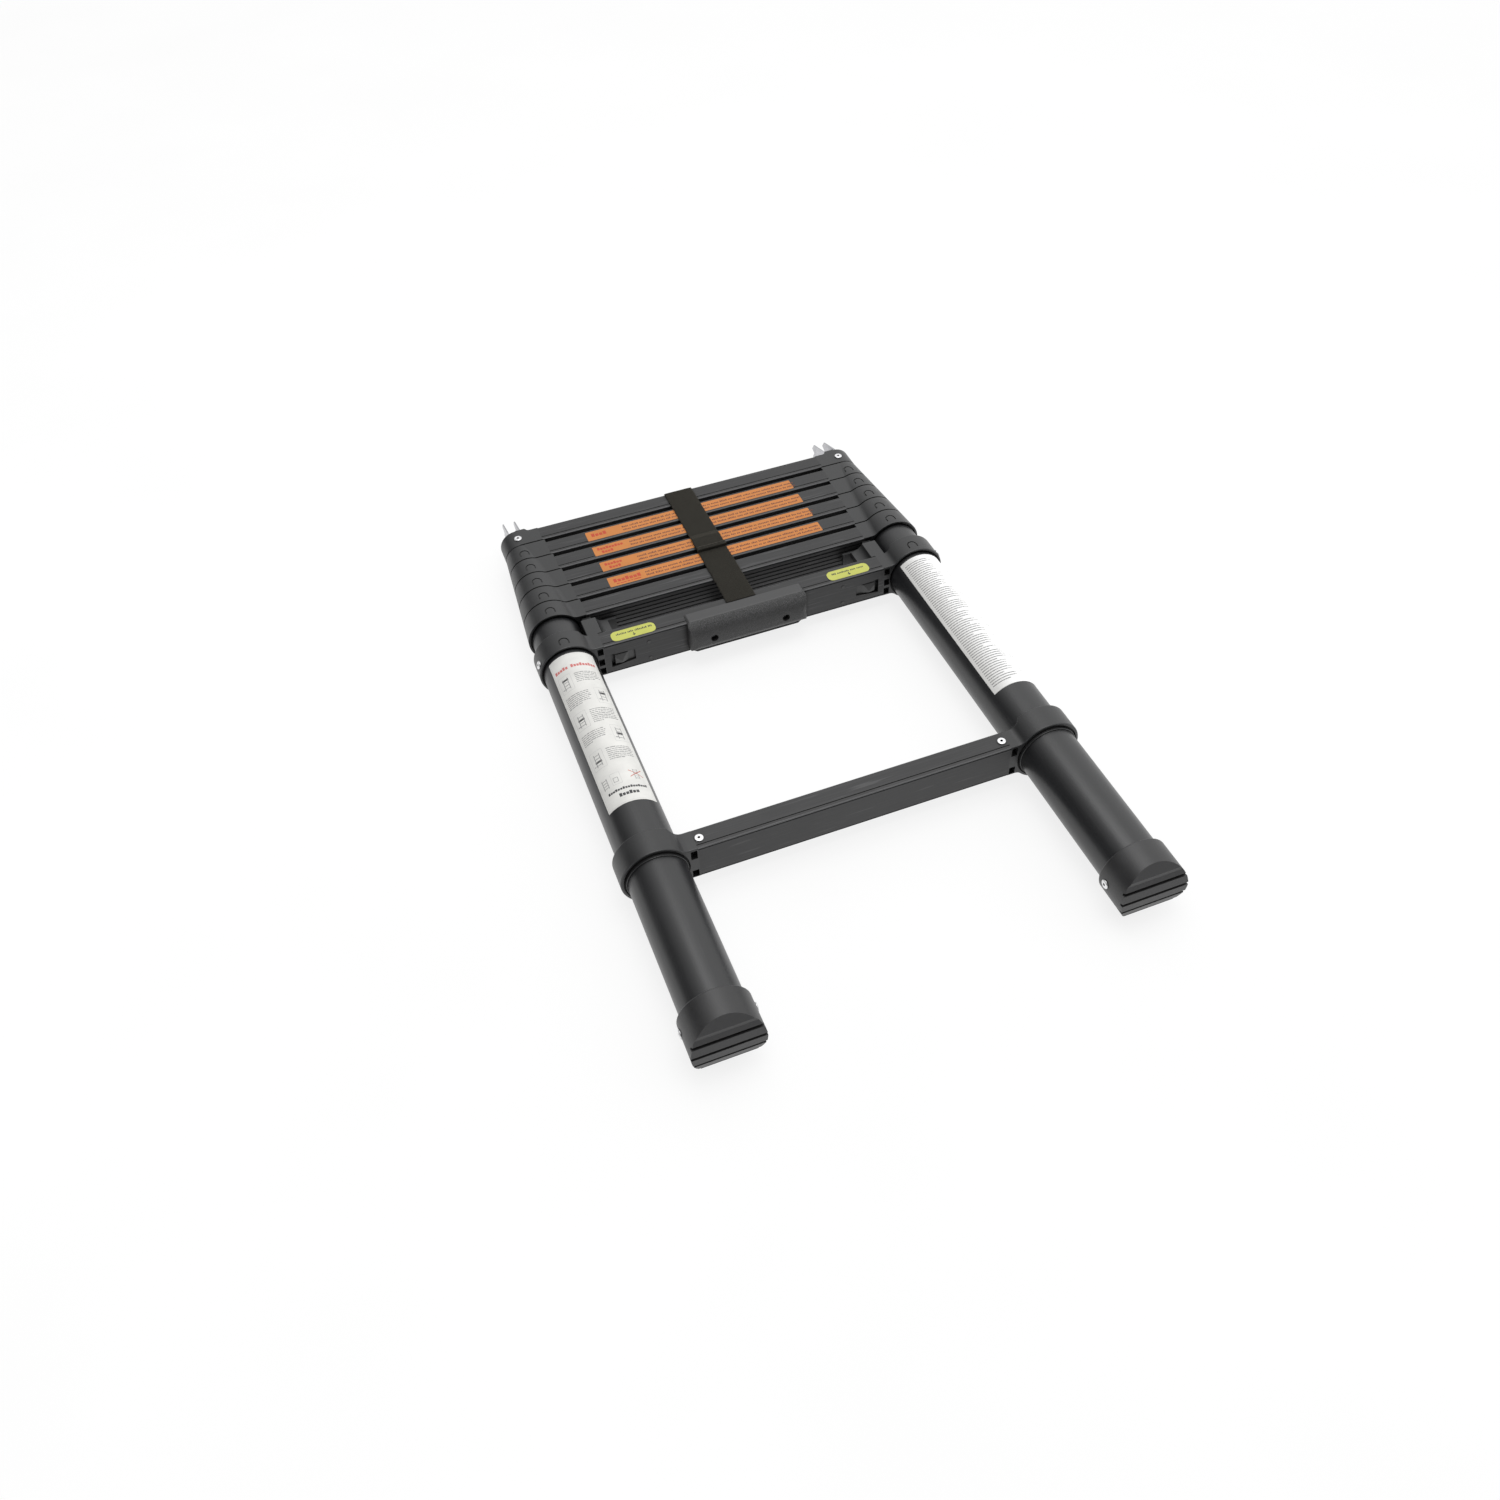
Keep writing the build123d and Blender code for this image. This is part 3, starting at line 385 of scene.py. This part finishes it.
CAD_MATERIALS = {
    "tube_black": coated_tube(),
    "rung_black": coated_rung(),
    "collar_plastic": moulded("collar_plastic", 0.0195, 0.0140, 0.40, 1500.0, 0.00006, 0.5,
                              (0.97, 1.0, 1.05)),
    "slide_plastic": moulded("slide_plastic", 0.032, 0.026, 0.42, 1500.0, 0.00005),
    "handle_plastic": leather_grip(),
    "foot_rubber": moulded("foot_rubber", 0.024, 0.017, 0.42, 1100.0, 0.00010, 0.3,
                           (0.99, 0.98, 1.03)),
    "rivet_aluminium": bright_metal("rivet_aluminium", (0.86, 0.86, 0.87), 0.30, (1, 1, 1)),
    "rivet_black": moulded("rivet_black", 0.030, 0.020, 0.40, 1800.0, 0.00004),
    "pin_steel": bright_metal("pin_steel", (0.34, 0.34, 0.35), 0.34, (0.05, 1, 1)),
    "hook_steel": bright_metal("hook_steel", (0.52, 0.52, 0.54), 0.28, (1, 0.05, 1)),
}
WEBBING = webbing_cloth()
THREAD = moulded("strap_thread", 0.030, 0.016, 0.70, 2500.0, 0.00012, 0.0, (1.0, 0.95, 0.8), 0.3)
ORANGE = vinyl("label_orange", (0.64, 0.228, 0.048))
YELLOW = vinyl("label_yellow", (0.60, 0.62, 0.13))
WHITE = vinyl("label_white", (0.83, 0.825, 0.795))
WHITE_RIGHT = sunlit_film()
INK_RED = printing_ink("ink_red", (0.42, 0.050, 0.015))
INK_ROSE = printing_ink("ink_rose", (0.50, 0.15, 0.14))
INK_BROWN = printing_ink("ink_brown", (0.14, 0.040, 0.020))
INK_BLACK = printing_ink("ink_black", (0.035, 0.035, 0.037))
INK_GREY = printing_ink("ink_grey", (0.24, 0.24, 0.24))
INK_PALE = printing_ink("ink_pale", (0.46, 0.46, 0.45))


def paint_cad_nodes():
    """Gives each CAD node the material of its slot in the record."""
    slots = {part["node"]: part["material_slot"] for part in frame["record"]["subparts"]}
    for name, node in frame["nodes"].items():
        material = CAD_MATERIALS.get(slots[name], WEBBING)
        node.data.materials.clear()
        node.data.materials.append(material)


# ======================================================================
# Printed labels
# ======================================================================
FILM = 0.12 * MM           # thickness of a label
FILM_FOOT = 0.01 * MM      # gap between the label and the surface under it
INK = 0.03 * MM            # how far the print stands above it
CURVE_STEP = 1.8 * MM      # longest straight piece on a tube


class Label:
    """A closed film with closed slabs of ink on it, laid out in its own u and v.

    place(u, v, h) turns a spot on the label and a height above the surface into a point.
    """

    def __init__(self, name, place, width, length, corner, inks):
        self.name = name
        self.place = place
        self.width = width
        self.length = length
        self.inks = inks
        self.bm = bmesh.new()
        self.film(corner)

    def film(self, corner):
        """Columns across the width, shortened at the rounded corners."""
        half = self.width / 2
        steps = 5
        turn = [corner * (1 - math.cos(math.radians(90 * i / steps))) for i in range(steps + 1)]
        count = max(1, math.ceil((self.width - 2 * corner) / CURVE_STEP))
        inner = [corner + (self.width - 2 * corner) * i / count for i in range(1, count)]
        spots = turn + inner + [self.width - t for t in reversed(turn)]
        columns = []
        for spot in spots:
            side = min(spot, self.width - spot)
            cut = corner - math.sqrt(max(0.0, corner ** 2 - (corner - min(side, corner)) ** 2))
            columns.append((spot - half, cut, self.length - cut))
        rows = []
        for u, low, high in columns:
            ring = ((low, FILM_FOOT), (low, FILM), (high, FILM), (high, FILM_FOOT))
            rows.append([self.bm.verts.new(self.place(u, v, h)) for v, h in ring])
        for left, right in zip(rows, rows[1:]):
            for i in range(4):
                j = (i + 1) % 4
                self.bm.faces.new((left[i], right[i], right[j], left[j]))
        self.bm.faces.new(rows[0])
        self.bm.faces.new(reversed(rows[-1]))

    def slab(self, u0, u1, v0, v1, ink):
        """A block of ink, cut along u so that it follows a curved surface."""
        pieces = max(1, math.ceil((u1 - u0) / CURVE_STEP))
        ring = ((v0, FILM), (v0, FILM + INK), (v1, FILM + INK), (v1, FILM))
        rows = []
        for i in range(pieces + 1):
            u = u0 + (u1 - u0) * i / pieces
            rows.append([self.bm.verts.new(self.place(u, v, h)) for v, h in ring])
        made = []
        for left, right in zip(rows, rows[1:]):
            for i in range(4):
                j = (i + 1) % 4
                made.append(self.bm.faces.new((left[i], right[i], right[j], left[j])))
        made.append(self.bm.faces.new(rows[0]))
        made.append(self.bm.faces.new(reversed(rows[-1])))
        for face in made:
            face.material_index = ink

    def line(self, u0, u1, v, height, ink, rng, fill=1.0):
        """A line of make-believe print: words as short bars of uneven length."""
        end = u0 + (u1 - u0) * fill
        u = u0
        while u < end - height:
            word = min(rng.uniform(1.2, 5.5) * height, end - u)
            rise = rng.choice((0.0, 0.15, 0.25)) * height
            self.slab(u, u + word, v, v + height - rise, ink)
            u += word + 0.55 * height

    def word(self, u0, u1, v, height, blocks, ink):
        """A make-believe title: close solid blocks, the first and every third one taller."""
        pitch = (u1 - u0) / blocks
        for i in range(blocks):
            tall = 1.0 if i % 3 == 0 else 0.76
            start = u0 + i * pitch
            self.slab(start, start + 0.80 * pitch, v, v + tall * height, ink)

    def letters(self, u0, u1, v, height, ink, rng):
        """A line of bold make-believe print: narrow blocks in groups."""
        u = u0
        while u < u1:
            for _ in range(rng.randint(2, 8)):
                wide = rng.uniform(0.34, 0.52) * height
                tall = rng.choice((0.72, 0.72, 0.72, 1.0))
                self.slab(u, u + wide, v, v + tall * height, ink)
                u += wide + 0.20 * height
            u += 0.45 * height

    def paragraph(self, u0, u1, top, lines, pitch, ink, rng):
        """Lines of print, the last one short."""
        for i in range(lines):
            fill = rng.uniform(0.86, 1.0) if i < lines - 1 else rng.uniform(0.35, 0.7)
            self.line(u0, u1, top - i * pitch, 0.42 * pitch, ink, rng, fill)

    def frame(self, u0, u1, v0, v1, thick, ink):
        """Outline of a box."""
        self.slab(u0, u1, v0, v0 + thick, ink)
        self.slab(u0, u1, v1 - thick, v1, ink)
        self.slab(u0, u0 + thick, v0 + thick, v1 - thick, ink)
        self.slab(u1 - thick, u1, v0 + thick, v1 - thick, ink)

    def ladder(self, u0, u1, v0, v1, rungs, thick, ink):
        """Pictogram of a ladder."""
        self.slab(u0, u0 + thick, v0, v1, ink)
        self.slab(u1 - thick, u1, v0, v1, ink)
        for i in range(rungs):
            v = v0 + (i + 0.5) * (v1 - v0) / rungs
            self.slab(u0 + thick, u1 - thick, v - thick / 2, v + thick / 2, ink)

    def stroke(self, u0, v0, u1, v1, thick, ink):
        """A slanting stroke, as a staircase of small blocks."""
        steps = max(2, math.ceil(max(abs(u1 - u0), abs(v1 - v0)) / (0.6 * thick)))
        for i in range(steps):
            u = u0 + (u1 - u0) * (i + 0.5) / steps
            v = v0 + (v1 - v0) * (i + 0.5) / steps
            self.slab(u - thick / 2, u + thick / 2, v - thick / 3, v + thick / 3, ink)

    def finish(self, body):
        bmesh.ops.recalc_face_normals(self.bm, faces=self.bm.faces)
        mesh = bpy.data.meshes.new(self.name)
        self.bm.to_mesh(mesh)
        self.bm.free()
        for material in self.inks:
            mesh.materials.append(material)
        made = bpy.data.objects.new(self.name, mesh)
        bpy.context.scene.collection.objects.link(made)
        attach(made, body)
        return made


def flat_place(x, y, z):
    """u along X from x, v along Y from y, on a face at height z."""
    return lambda u, v, h: Vector((x + u, y + v, z + h))


def tube_place(node, y, middle):
    """u round the tube from the angle middle (degrees from the top, towards +X), v along Y."""
    low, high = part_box(node)
    x = (low.x + high.x) / 2
    z = (low.z + high.z) / 2
    radius = (high.x - low.x) / 2

    def place(u, v, h):
        angle = math.radians(middle) + u / radius
        out = radius + h
        return Vector((x + out * math.sin(angle), y + v, z + out * math.cos(angle)))

    return place, radius


RUNG_LABEL_HALF = 129.5 * MM
RUNG_LABEL_FROM = 3.2 * MM     # from the rung's foot side
RUNG_LABEL_WIDTH = 17.0 * MM
TITLE_INK, PRINT_INK = 1, 2
# Per rung: blocks in each row of the title, and whether small print stands below it.
TITLES = {7: ((4,), False), 6: ((9, 4), False), 5: ((6, 4), False), 4: ((7,), True)}


def rung_label(stage):
    """Orange notice on a stacked rung: a bold title and two lines of print."""
    low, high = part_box(f"rung_{stage}")
    rng = random.Random(stage)
    place = flat_place(0.0, low.y + RUNG_LABEL_FROM, high.z)
    label = Label(f"label_rung_{stage}", place, 2 * RUNG_LABEL_HALF, RUNG_LABEL_WIDTH, 1.0 * MM,
                  (ORANGE, INK_RED, INK_BROWN))
    start = -RUNG_LABEL_HALF
    words, has_foot_line = TITLES[stage]
    if len(words) == 1:
        letters = words[0]
        tall = 6.2 * MM
        wide = letters * 4.7 * MM
        label.word(start + 6 * MM, start + 6 * MM + wide, 6.4 * MM, tall, letters, TITLE_INK)
        if has_foot_line:
            label.line(start + 8 * MM, start + 4 * MM + wide, 2.6 * MM, 1.7 * MM, TITLE_INK, rng)
    else:
        for row, letters in enumerate(words):
            wide = letters * 3.5 * MM
            left = start + 5 * MM + row * 4 * MM
            low_edge = (9.3 - 6.6 * row) * MM
            label.word(left, left + wide, low_edge, 4.6 * MM, letters, TITLE_INK)
    for v in (9.6 * MM, 3.8 * MM):
        label.letters(start + 44 * MM, RUNG_LABEL_HALF - 6 * MM, v, 3.0 * MM, PRINT_INK, rng)
    return label.finish(frame["nodes"][f"rung_{stage}"]["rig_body"])


SWITCH_LABEL = (50.0 * MM, 15.5 * MM)
SWITCH_LABEL_X = (-128.6 * MM, 125.4 * MM)


def switch_label(side):
    """Yellow mark above a release slide: a line of print and an arrow towards it."""
    low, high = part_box("rung_2")
    rng = random.Random(20 + side)
    place = flat_place(SWITCH_LABEL_X[side > 0], low.y + 2.6 * MM, high.z)
    name = "label_release_left" if side < 0 else "label_release_right"
    label = Label(name, place, *SWITCH_LABEL, 6.0 * MM, (YELLOW, INK_BLACK))
    black = 1
    label.letters(-19 * MM, 19 * MM, 8.6 * MM, 2.8 * MM, black, rng)
    label.slab(-0.5 * MM, 0.5 * MM, 4.2 * MM, 6.9 * MM, black)
    for i in range(4):
        half = (1.8 - 0.45 * i) * MM
        label.slab(-half, half, (3.9 - 0.5 * i) * MM, (4.4 - 0.5 * i) * MM, black)
    return label.finish("base")


LEFT_LABEL_ANGLES = (-50.0, 57.0)
RIGHT_LABEL_ANGLES = (-47.0, 70.0)
TUBE_LABEL_FROM = 72.0 * MM     # from the foot side of rung 1
TUBE_LABEL_END = 5.0 * MM       # below collar 2
TUBE_INKS = (INK_RED, INK_BLACK, INK_GREY, INK_PALE, INK_ROSE)
RED, BLACK, GREY, PALE, ROSE = range(1, 6)


def tube_label(side):
    """White sheet of instructions round a base tube."""
    name = "left" if side < 0 else "right"
    angles = LEFT_LABEL_ANGLES if side < 0 else RIGHT_LABEL_ANGLES
    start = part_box("rung_1")[0].y + TUBE_LABEL_FROM
    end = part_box(f"collar_2_{name}")[0].y - TUBE_LABEL_END
    place, radius = tube_place(f"base_tube_{name}", start, sum(angles) / 2)
    width = math.radians(angles[1] - angles[0]) * radius
    film = WHITE if side < 0 else WHITE_RIGHT
    label = Label(f"label_tube_{name}", place, width, end - start, 0.8 * MM, (film, *TUBE_INKS))
    if side < 0:
        print_drawings(label)
    else:
        print_small_text(label)
    return label.finish("base")


STEPS = 5
STEP_PITCH = 29 * MM


def print_step(label, step, left, right, rng):
    """One drawing of a ladder in a frame, and a paragraph beside it."""
    high = label.length - 29 * MM - STEP_PITCH * step
    drawing_left = step % 2 == 0
    box = (left, left + 15 * MM) if drawing_left else (right - 16 * MM, right - 1 * MM)
    text = (left + 19 * MM, right - 1 * MM) if drawing_left else (left, right - 20 * MM)
    label.frame(box[0], box[1], high - 24 * MM, high, 0.3 * MM, PALE)
    label.ladder(box[0] + 4.5 * MM, box[1] - 4 * MM, high - 21 * MM, high - 4 * MM, 4, 0.7 * MM,
                 GREY)
    bar = high - (8 + 2 * step) * MM
    label.slab(box[0] + 4 * MM, box[1] - 3.5 * MM, bar, bar + 2.4 * MM, BLACK)
    label.line(box[0] + 1.5 * MM, box[0] + 5 * MM, high - 19 * MM, 1.2 * MM, GREY, rng)
    label.paragraph(text[0], text[1], high - 3.5 * MM, 6 + step % 3, 2.6 * MM, GREY, rng)


def print_drawings(label):
    """Title, five steps with a drawing each, a crossed-out drawing and two closing lines."""
    rng = random.Random(3)
    half = label.width / 2
    left = -half + 4 * MM
    right = half - 3 * MM
    top = label.length
    title = top - 22 * MM
    margin = 1.5 * MM
    label.frame(-half + margin, half - margin, margin, top - margin, 0.25 * MM, PALE)
    label.word(left, left + 16 * MM, title, 4.6 * MM, 5, ROSE)
    label.word(left + 19 * MM, right - 1 * MM, title, 4.6 * MM, 9, ROSE)
    for step in range(STEPS):
        print_step(label, step, left, right, rng)

    low = 26 * MM
    label.frame(left + 12 * MM, left + 22 * MM, low, low + 15 * MM, 0.3 * MM, PALE)
    label.ladder(left + 2 * MM, left + 8 * MM, low, low + 13 * MM, 4, 0.6 * MM, GREY)
    label.frame(left + 14 * MM, left + 19 * MM, low + 3 * MM, low + 9 * MM, 0.5 * MM, GREY)
    cross_u, cross_v = right - 10 * MM, low + 10 * MM
    label.ladder(cross_u - 2.5 * MM, cross_u + 2.5 * MM, cross_v - 8 * MM, cross_v + 6 * MM, 5,
                 0.5 * MM, GREY)
    for sign in (1, -1):
        label.stroke(cross_u - 7 * MM, cross_v - sign * 4.5 * MM, cross_u + 7 * MM,
                     cross_v + sign * 4.5 * MM, 0.9 * MM, RED)
    label.word(left + 4 * MM, right - 3 * MM, 17.5 * MM, 3.0 * MM, 16, BLACK)
    label.word(left + 14 * MM, right - 14 * MM, 9.5 * MM, 4.4 * MM, 6, BLACK)


SMALL_PRINT_PITCH = 3.34 * MM
SMALL_PRINT_HEIGHT = 1.15 * MM


def print_small_text(label):
    """Paragraphs of close small print; towards the right only a few pale pieces, a painted
    highlight washing the print out.
    """
    rng = random.Random(8)
    left = -label.width / 2 + 3.6 * MM
    lines = int((label.length - 12 * MM) / SMALL_PRINT_PITCH)
    low, high = label.length - 8 * MM, 0
    while high < lines:
        count = min(rng.randint(2, 7), lines - high)
        # Lines stop short of the right side; the missing print there is painted highlight.
        reach = rng.uniform(0.40, 0.50)
        for i in range(count):
            v = low - (high + i) * SMALL_PRINT_PITCH
            share = reach + rng.uniform(-0.015, 0.015)
            if i == count - 1:
                share = rng.uniform(0.26, 0.36)
            stop = left + share * label.width
            u = left
            while u < stop:
                word = min(rng.uniform(2.0, 9.0) * MM, stop - u + 0.3 * MM)
                label.slab(u, u + word, v, v + SMALL_PRINT_HEIGHT, GREY)
                u += word + 0.35 * MM
            # Pale pieces past a line's end: painted highlight washing the print out.
            if i < count - 1:
                end = stop + rng.uniform(2, 6) * MM
                label.slab(stop + 0.8 * MM, end, v, v + SMALL_PRINT_HEIGHT, PALE)
            # A few more pale pieces further right, also painted highlight.
            if rng.random() < 0.35:
                far = left + 0.62 * label.width
                end = far + rng.uniform(3, 12) * MM
                label.slab(far, end, v, v + 0.5 * SMALL_PRINT_HEIGHT, PALE)
        high += count


# ======================================================================
# Strap
# ======================================================================
WEB_THICK = 1.5 * MM
OVERLAP = 20.0 * MM         # of the long end over the short end
STITCH = (1.9 * MM, 0.42 * MM, 0.28 * MM)   # length, width, height


def rounded_path(corners, radius, step=1.5 * MM):
    """Points along a path in Y and Z, its corners rounded as arcs."""
    points = [Vector(corners[0])]
    for before, corner, after in zip(corners, corners[1:], corners[2:]):
        corner = Vector(corner)
        back = (Vector(before) - corner).normalized()
        on = (Vector(after) - corner).normalized()
        half = back.angle(on) / 2
        reach = min(radius / math.tan(half), 0.45 * (Vector(after) - corner).length,
                    0.45 * (Vector(before) - corner).length)
        centre = corner + (back + on).normalized() * (reach / math.cos(half))
        start = corner + back * reach
        end = corner + on * reach
        count = 7
        for i in range(count + 1):
            blend = (start - centre).lerp(end - centre, i / count).normalized()
            points.append(centre + blend * (start - centre).length)
    points.append(Vector(corners[-1]))
    dense = [points[0]]
    for a, b in zip(points, points[1:]):
        count = max(1, math.ceil((b - a).length / step))
        dense += [a.lerp(b, i / count) for i in range(1, count + 1)]
    return dense


def webbing(name, corners, x, width, thick, body, wave):
    """A woven tape swept along a path, with rolled selvedges and a slight unevenness."""
    path = rounded_path(corners, 2.6 * MM)
    rng = random.Random(name)
    count = 22
    bm = bmesh.new()
    uv_layer = bm.loops.layers.uv.new("UVMap")
    rows, spots = [], []
    run = 0.0
    for i, point in enumerate(path):
        before = path[max(0, i - 1)]
        after = path[min(len(path) - 1, i + 1)]
        along = (after - before).normalized()
        out = Vector((-along.y, along.x))
        if i:
            run += (point - before).length
        lift = wave * (0.6 * math.sin(run / 0.0132) + 0.4 * math.sin(run / 0.0051 + 1.3))
        sway = 0.35 * MM * math.sin(run / 0.031)
        frayed = [rng.uniform(-0.22, 0.22) * MM for _ in range(2)]
        ring = []
        for k in range(2 * count):
            turn = 2 * math.pi * k / (2 * count)
            flat = math.copysign(abs(math.cos(turn)) ** 0.22, math.cos(turn))
            high = math.copysign(abs(math.sin(turn)) ** 0.5, math.sin(turn))
            bead = 1.0 + 0.10 * max(0.0, abs(flat) - 0.86) / 0.14
            across = flat * width / 2 + sway + frayed[flat > 0] * max(0.0, abs(flat) - 0.8) / 0.2
            cup = lift * (1 - 0.6 * abs(flat))
            rise = high * thick / 2 * bead + cup
            spot = Vector((x + across, point.x + out.x * rise, point.y + out.y * rise))
            ring.append((bm.verts.new(spot), across))
        rows.append(ring)
        spots.append(run)
    total = 2 * count
    for i in range(len(rows) - 1):
        for k in range(total):
            n = (k + 1) % total
            corners_of = ((i, k), (i, n), (i + 1, n), (i + 1, k))
            face = bm.faces.new([rows[r][c][0] for r, c in corners_of])
            face.smooth = True
            for loop, (r, c) in zip(face.loops, corners_of):
                loop[uv_layer].uv = (rows[r][c][1], spots[r])
    for i, ring in ((0, rows[0]), (-1, rows[-1])):
        face = bm.faces.new([vert for vert, _ in ring])
        for loop, (_, across) in zip(face.loops, ring):
            loop[uv_layer].uv = (across, spots[i])
    bmesh.ops.recalc_face_normals(bm, faces=bm.faces)
    mesh = bpy.data.meshes.new(name)
    bm.to_mesh(mesh)
    bm.free()
    mesh.materials.append(WEBBING)
    made = bpy.data.objects.new(name, mesh)
    bpy.context.scene.collection.objects.link(made)
    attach(made, body)
    return made, spots[-1]


def stitches(name, rows, x, width, z, body):
    """Rows of thread across the strap; each stitch is a small rounded grain."""
    length, thick, height = STITCH
    bm = bmesh.new()
    for y in rows:
        count = int((width - 5 * MM) / (length * 1.25))
        for i in range(count):
            middle = x + (i - (count - 1) / 2) * length * 1.25
            made = bmesh.ops.create_icosphere(bm, subdivisions=1, radius=1.0)
            for vert in made["verts"]:
                spot = vert.co
                slant = spot.x * 0.15 * MM
                vert.co = Vector((middle + spot.x * length / 2, y + spot.y * thick + slant,
                                  z + spot.z * height))
    for face in bm.faces:
        face.smooth = True
    mesh = bpy.data.meshes.new(name)
    bm.to_mesh(mesh)
    bm.free()
    mesh.materials.append(THREAD)
    made = bpy.data.objects.new(name, mesh)
    bpy.context.scene.collection.objects.link(made)
    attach(made, body)
    return made


def make_strap():
    """Short end from the handle, and the long end round the top rung and underneath."""
    low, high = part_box("strap_upper")
    short_low, short_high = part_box("strap_lower")
    x = (low.x + high.x) / 2
    width = high.x - low.x
    half = WEB_THICK / 2
    top = short_low.z + half + 0.05 * MM
    raised = top + WEB_THICK + 0.3 * MM
    back = high.y - half
    under = low.z + half
    fold = short_high.y - OVERLAP
    slope = short_high.y + 4 * MM
    long_way = [(fold, raised), (slope, raised), (slope + 8 * MM, top), (back, top), (back, under),
                (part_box("rung_2")[1].y + 8 * MM, under)]
    upper, upper_length = webbing("strap_long", long_way, x, width, WEB_THICK, "section_8",
                                  0.12 * MM)
    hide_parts("strap_upper")
    short_way = [(short_low.y, top), (short_high.y, top)]
    lower, lower_length = webbing("strap_short", short_way, x, width, WEB_THICK, "base",
                                  0.10 * MM)
    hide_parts("strap_lower")

    on_top = raised + 1.35 * MM
    hem_way = [(fold + 0.2 * MM, on_top), (fold + 6.5 * MM, on_top)]
    hem, _ = webbing("strap_hem", hem_way, x + 0.7 * MM, width + 0.8 * MM, 1.2 * MM, "section_8",
                     0.0)
    seam = stitches("strap_seam", [fold + 2.2 * MM, fold + 5.0 * MM], x, width,
                    raised + 1.95 * MM, "section_8")
    top_seam = stitches("strap_top_seam", [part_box("rung_8")[0].y - 1 * MM], x, 0.6 * width,
                        top + half, "section_8")
    end_seam = stitches("strap_end_seam", [fold - 2.0 * MM], x, width, top + half, "base")


# ======================================================================
# Floor, light and camera
# ======================================================================
FLOOR_HALF = 9.0


def make_floor():
    material, tree, shader = new_material("floor_paper", Metallic=0.0, Specular_IOR_Level=0.2,
                                          Emission_Color=(1.0, 1.0, 1.0, 1.0),
                                          Emission_Strength=0.82)
    coords = object_coords(tree)
    clouds = spread(tree, noise(tree, coords, 3.0), 0.0, 1.0)
    colour = mix_colour(tree, clouds, (0.17, 0.17, 0.17), (0.19, 0.19, 0.19))
    roughness = spread(tree, clouds, 0.75, 0.85, 0.0, 1.0)
    normal = bump(tree, noise(tree, coords, 300.0), 0.0001, 0.2)
    finish_shader(tree, shader, colour, roughness, normal)
    mesh = bpy.data.meshes.new("floor")
    size = FLOOR_HALF
    mesh.from_pydata([(-size, -size, 0), (size, -size, 0), (size, size, 0), (-size, size, 0)], [],
                     [(0, 1, 2, 3)])
    mesh.materials.append(material)
    floor = bpy.data.objects.new("floor", mesh)
    bpy.context.scene.collection.objects.link(floor)


def make_world():
    """Studio surround: bright overhead and on the right, dark low on the left."""
    world = bpy.data.worlds.new("studio")
    bpy.context.scene.world = world
    world.use_nodes = True
    tree = world.node_tree
    background = tree.nodes["Background"]
    direction = add_node(tree, "ShaderNodeTexCoord").outputs["Generated"]
    lift = add_node(tree, "ShaderNodeVectorMath", {0: direction, 1: (0.52, 0.30, 0.77)},
                    operation="DOT_PRODUCT").outputs["Value"]
    level = spread(tree, lift, 0.10, 1.18, 0.08, 0.85)
    tree.links.new(level, background.inputs["Strength"])
    background.inputs["Color"].default_value = (1.0, 1.0, 1.0, 1.0)


def area_light(name, at, target, size, power):
    light = bpy.data.lights.new(name, "AREA")
    light.shape = "RECTANGLE"
    light.size, light.size_y = size
    light.energy = power
    made = bpy.data.objects.new(name, light)
    made.location = at
    made.rotation_euler = (Vector(target) - Vector(at)).to_track_quat("-Z", "Y").to_euler()
    bpy.context.scene.collection.objects.link(made)


def make_camera():
    data = bpy.data.cameras.new("camera")
    data.sensor_width = SENSOR
    data.lens = CAMERA_LENS
    data.clip_start = 0.01
    data.clip_end = 100.0
    camera = bpy.data.objects.new("camera", data)
    camera.location = CAMERA_AT
    camera.rotation_euler = [math.radians(angle) for angle in CAMERA_TURN]
    bpy.context.scene.collection.objects.link(camera)
    bpy.context.scene.camera = camera


# ======================================================================
# Scene
# ======================================================================
paint_cad_nodes()
for stage in TITLES:
    rung_label(stage)
for side in (-1, 1):
    switch_label(side)
    tube_label(side)
make_strap()
make_floor()
make_world()
area_light("softbox_top", (0.10, 0.20, 2.4), (0.0, 0.0, 0.0), (1.6, 1.6), 19.0)
make_camera()
bpy.context.scene.view_settings.view_transform = "Standard"
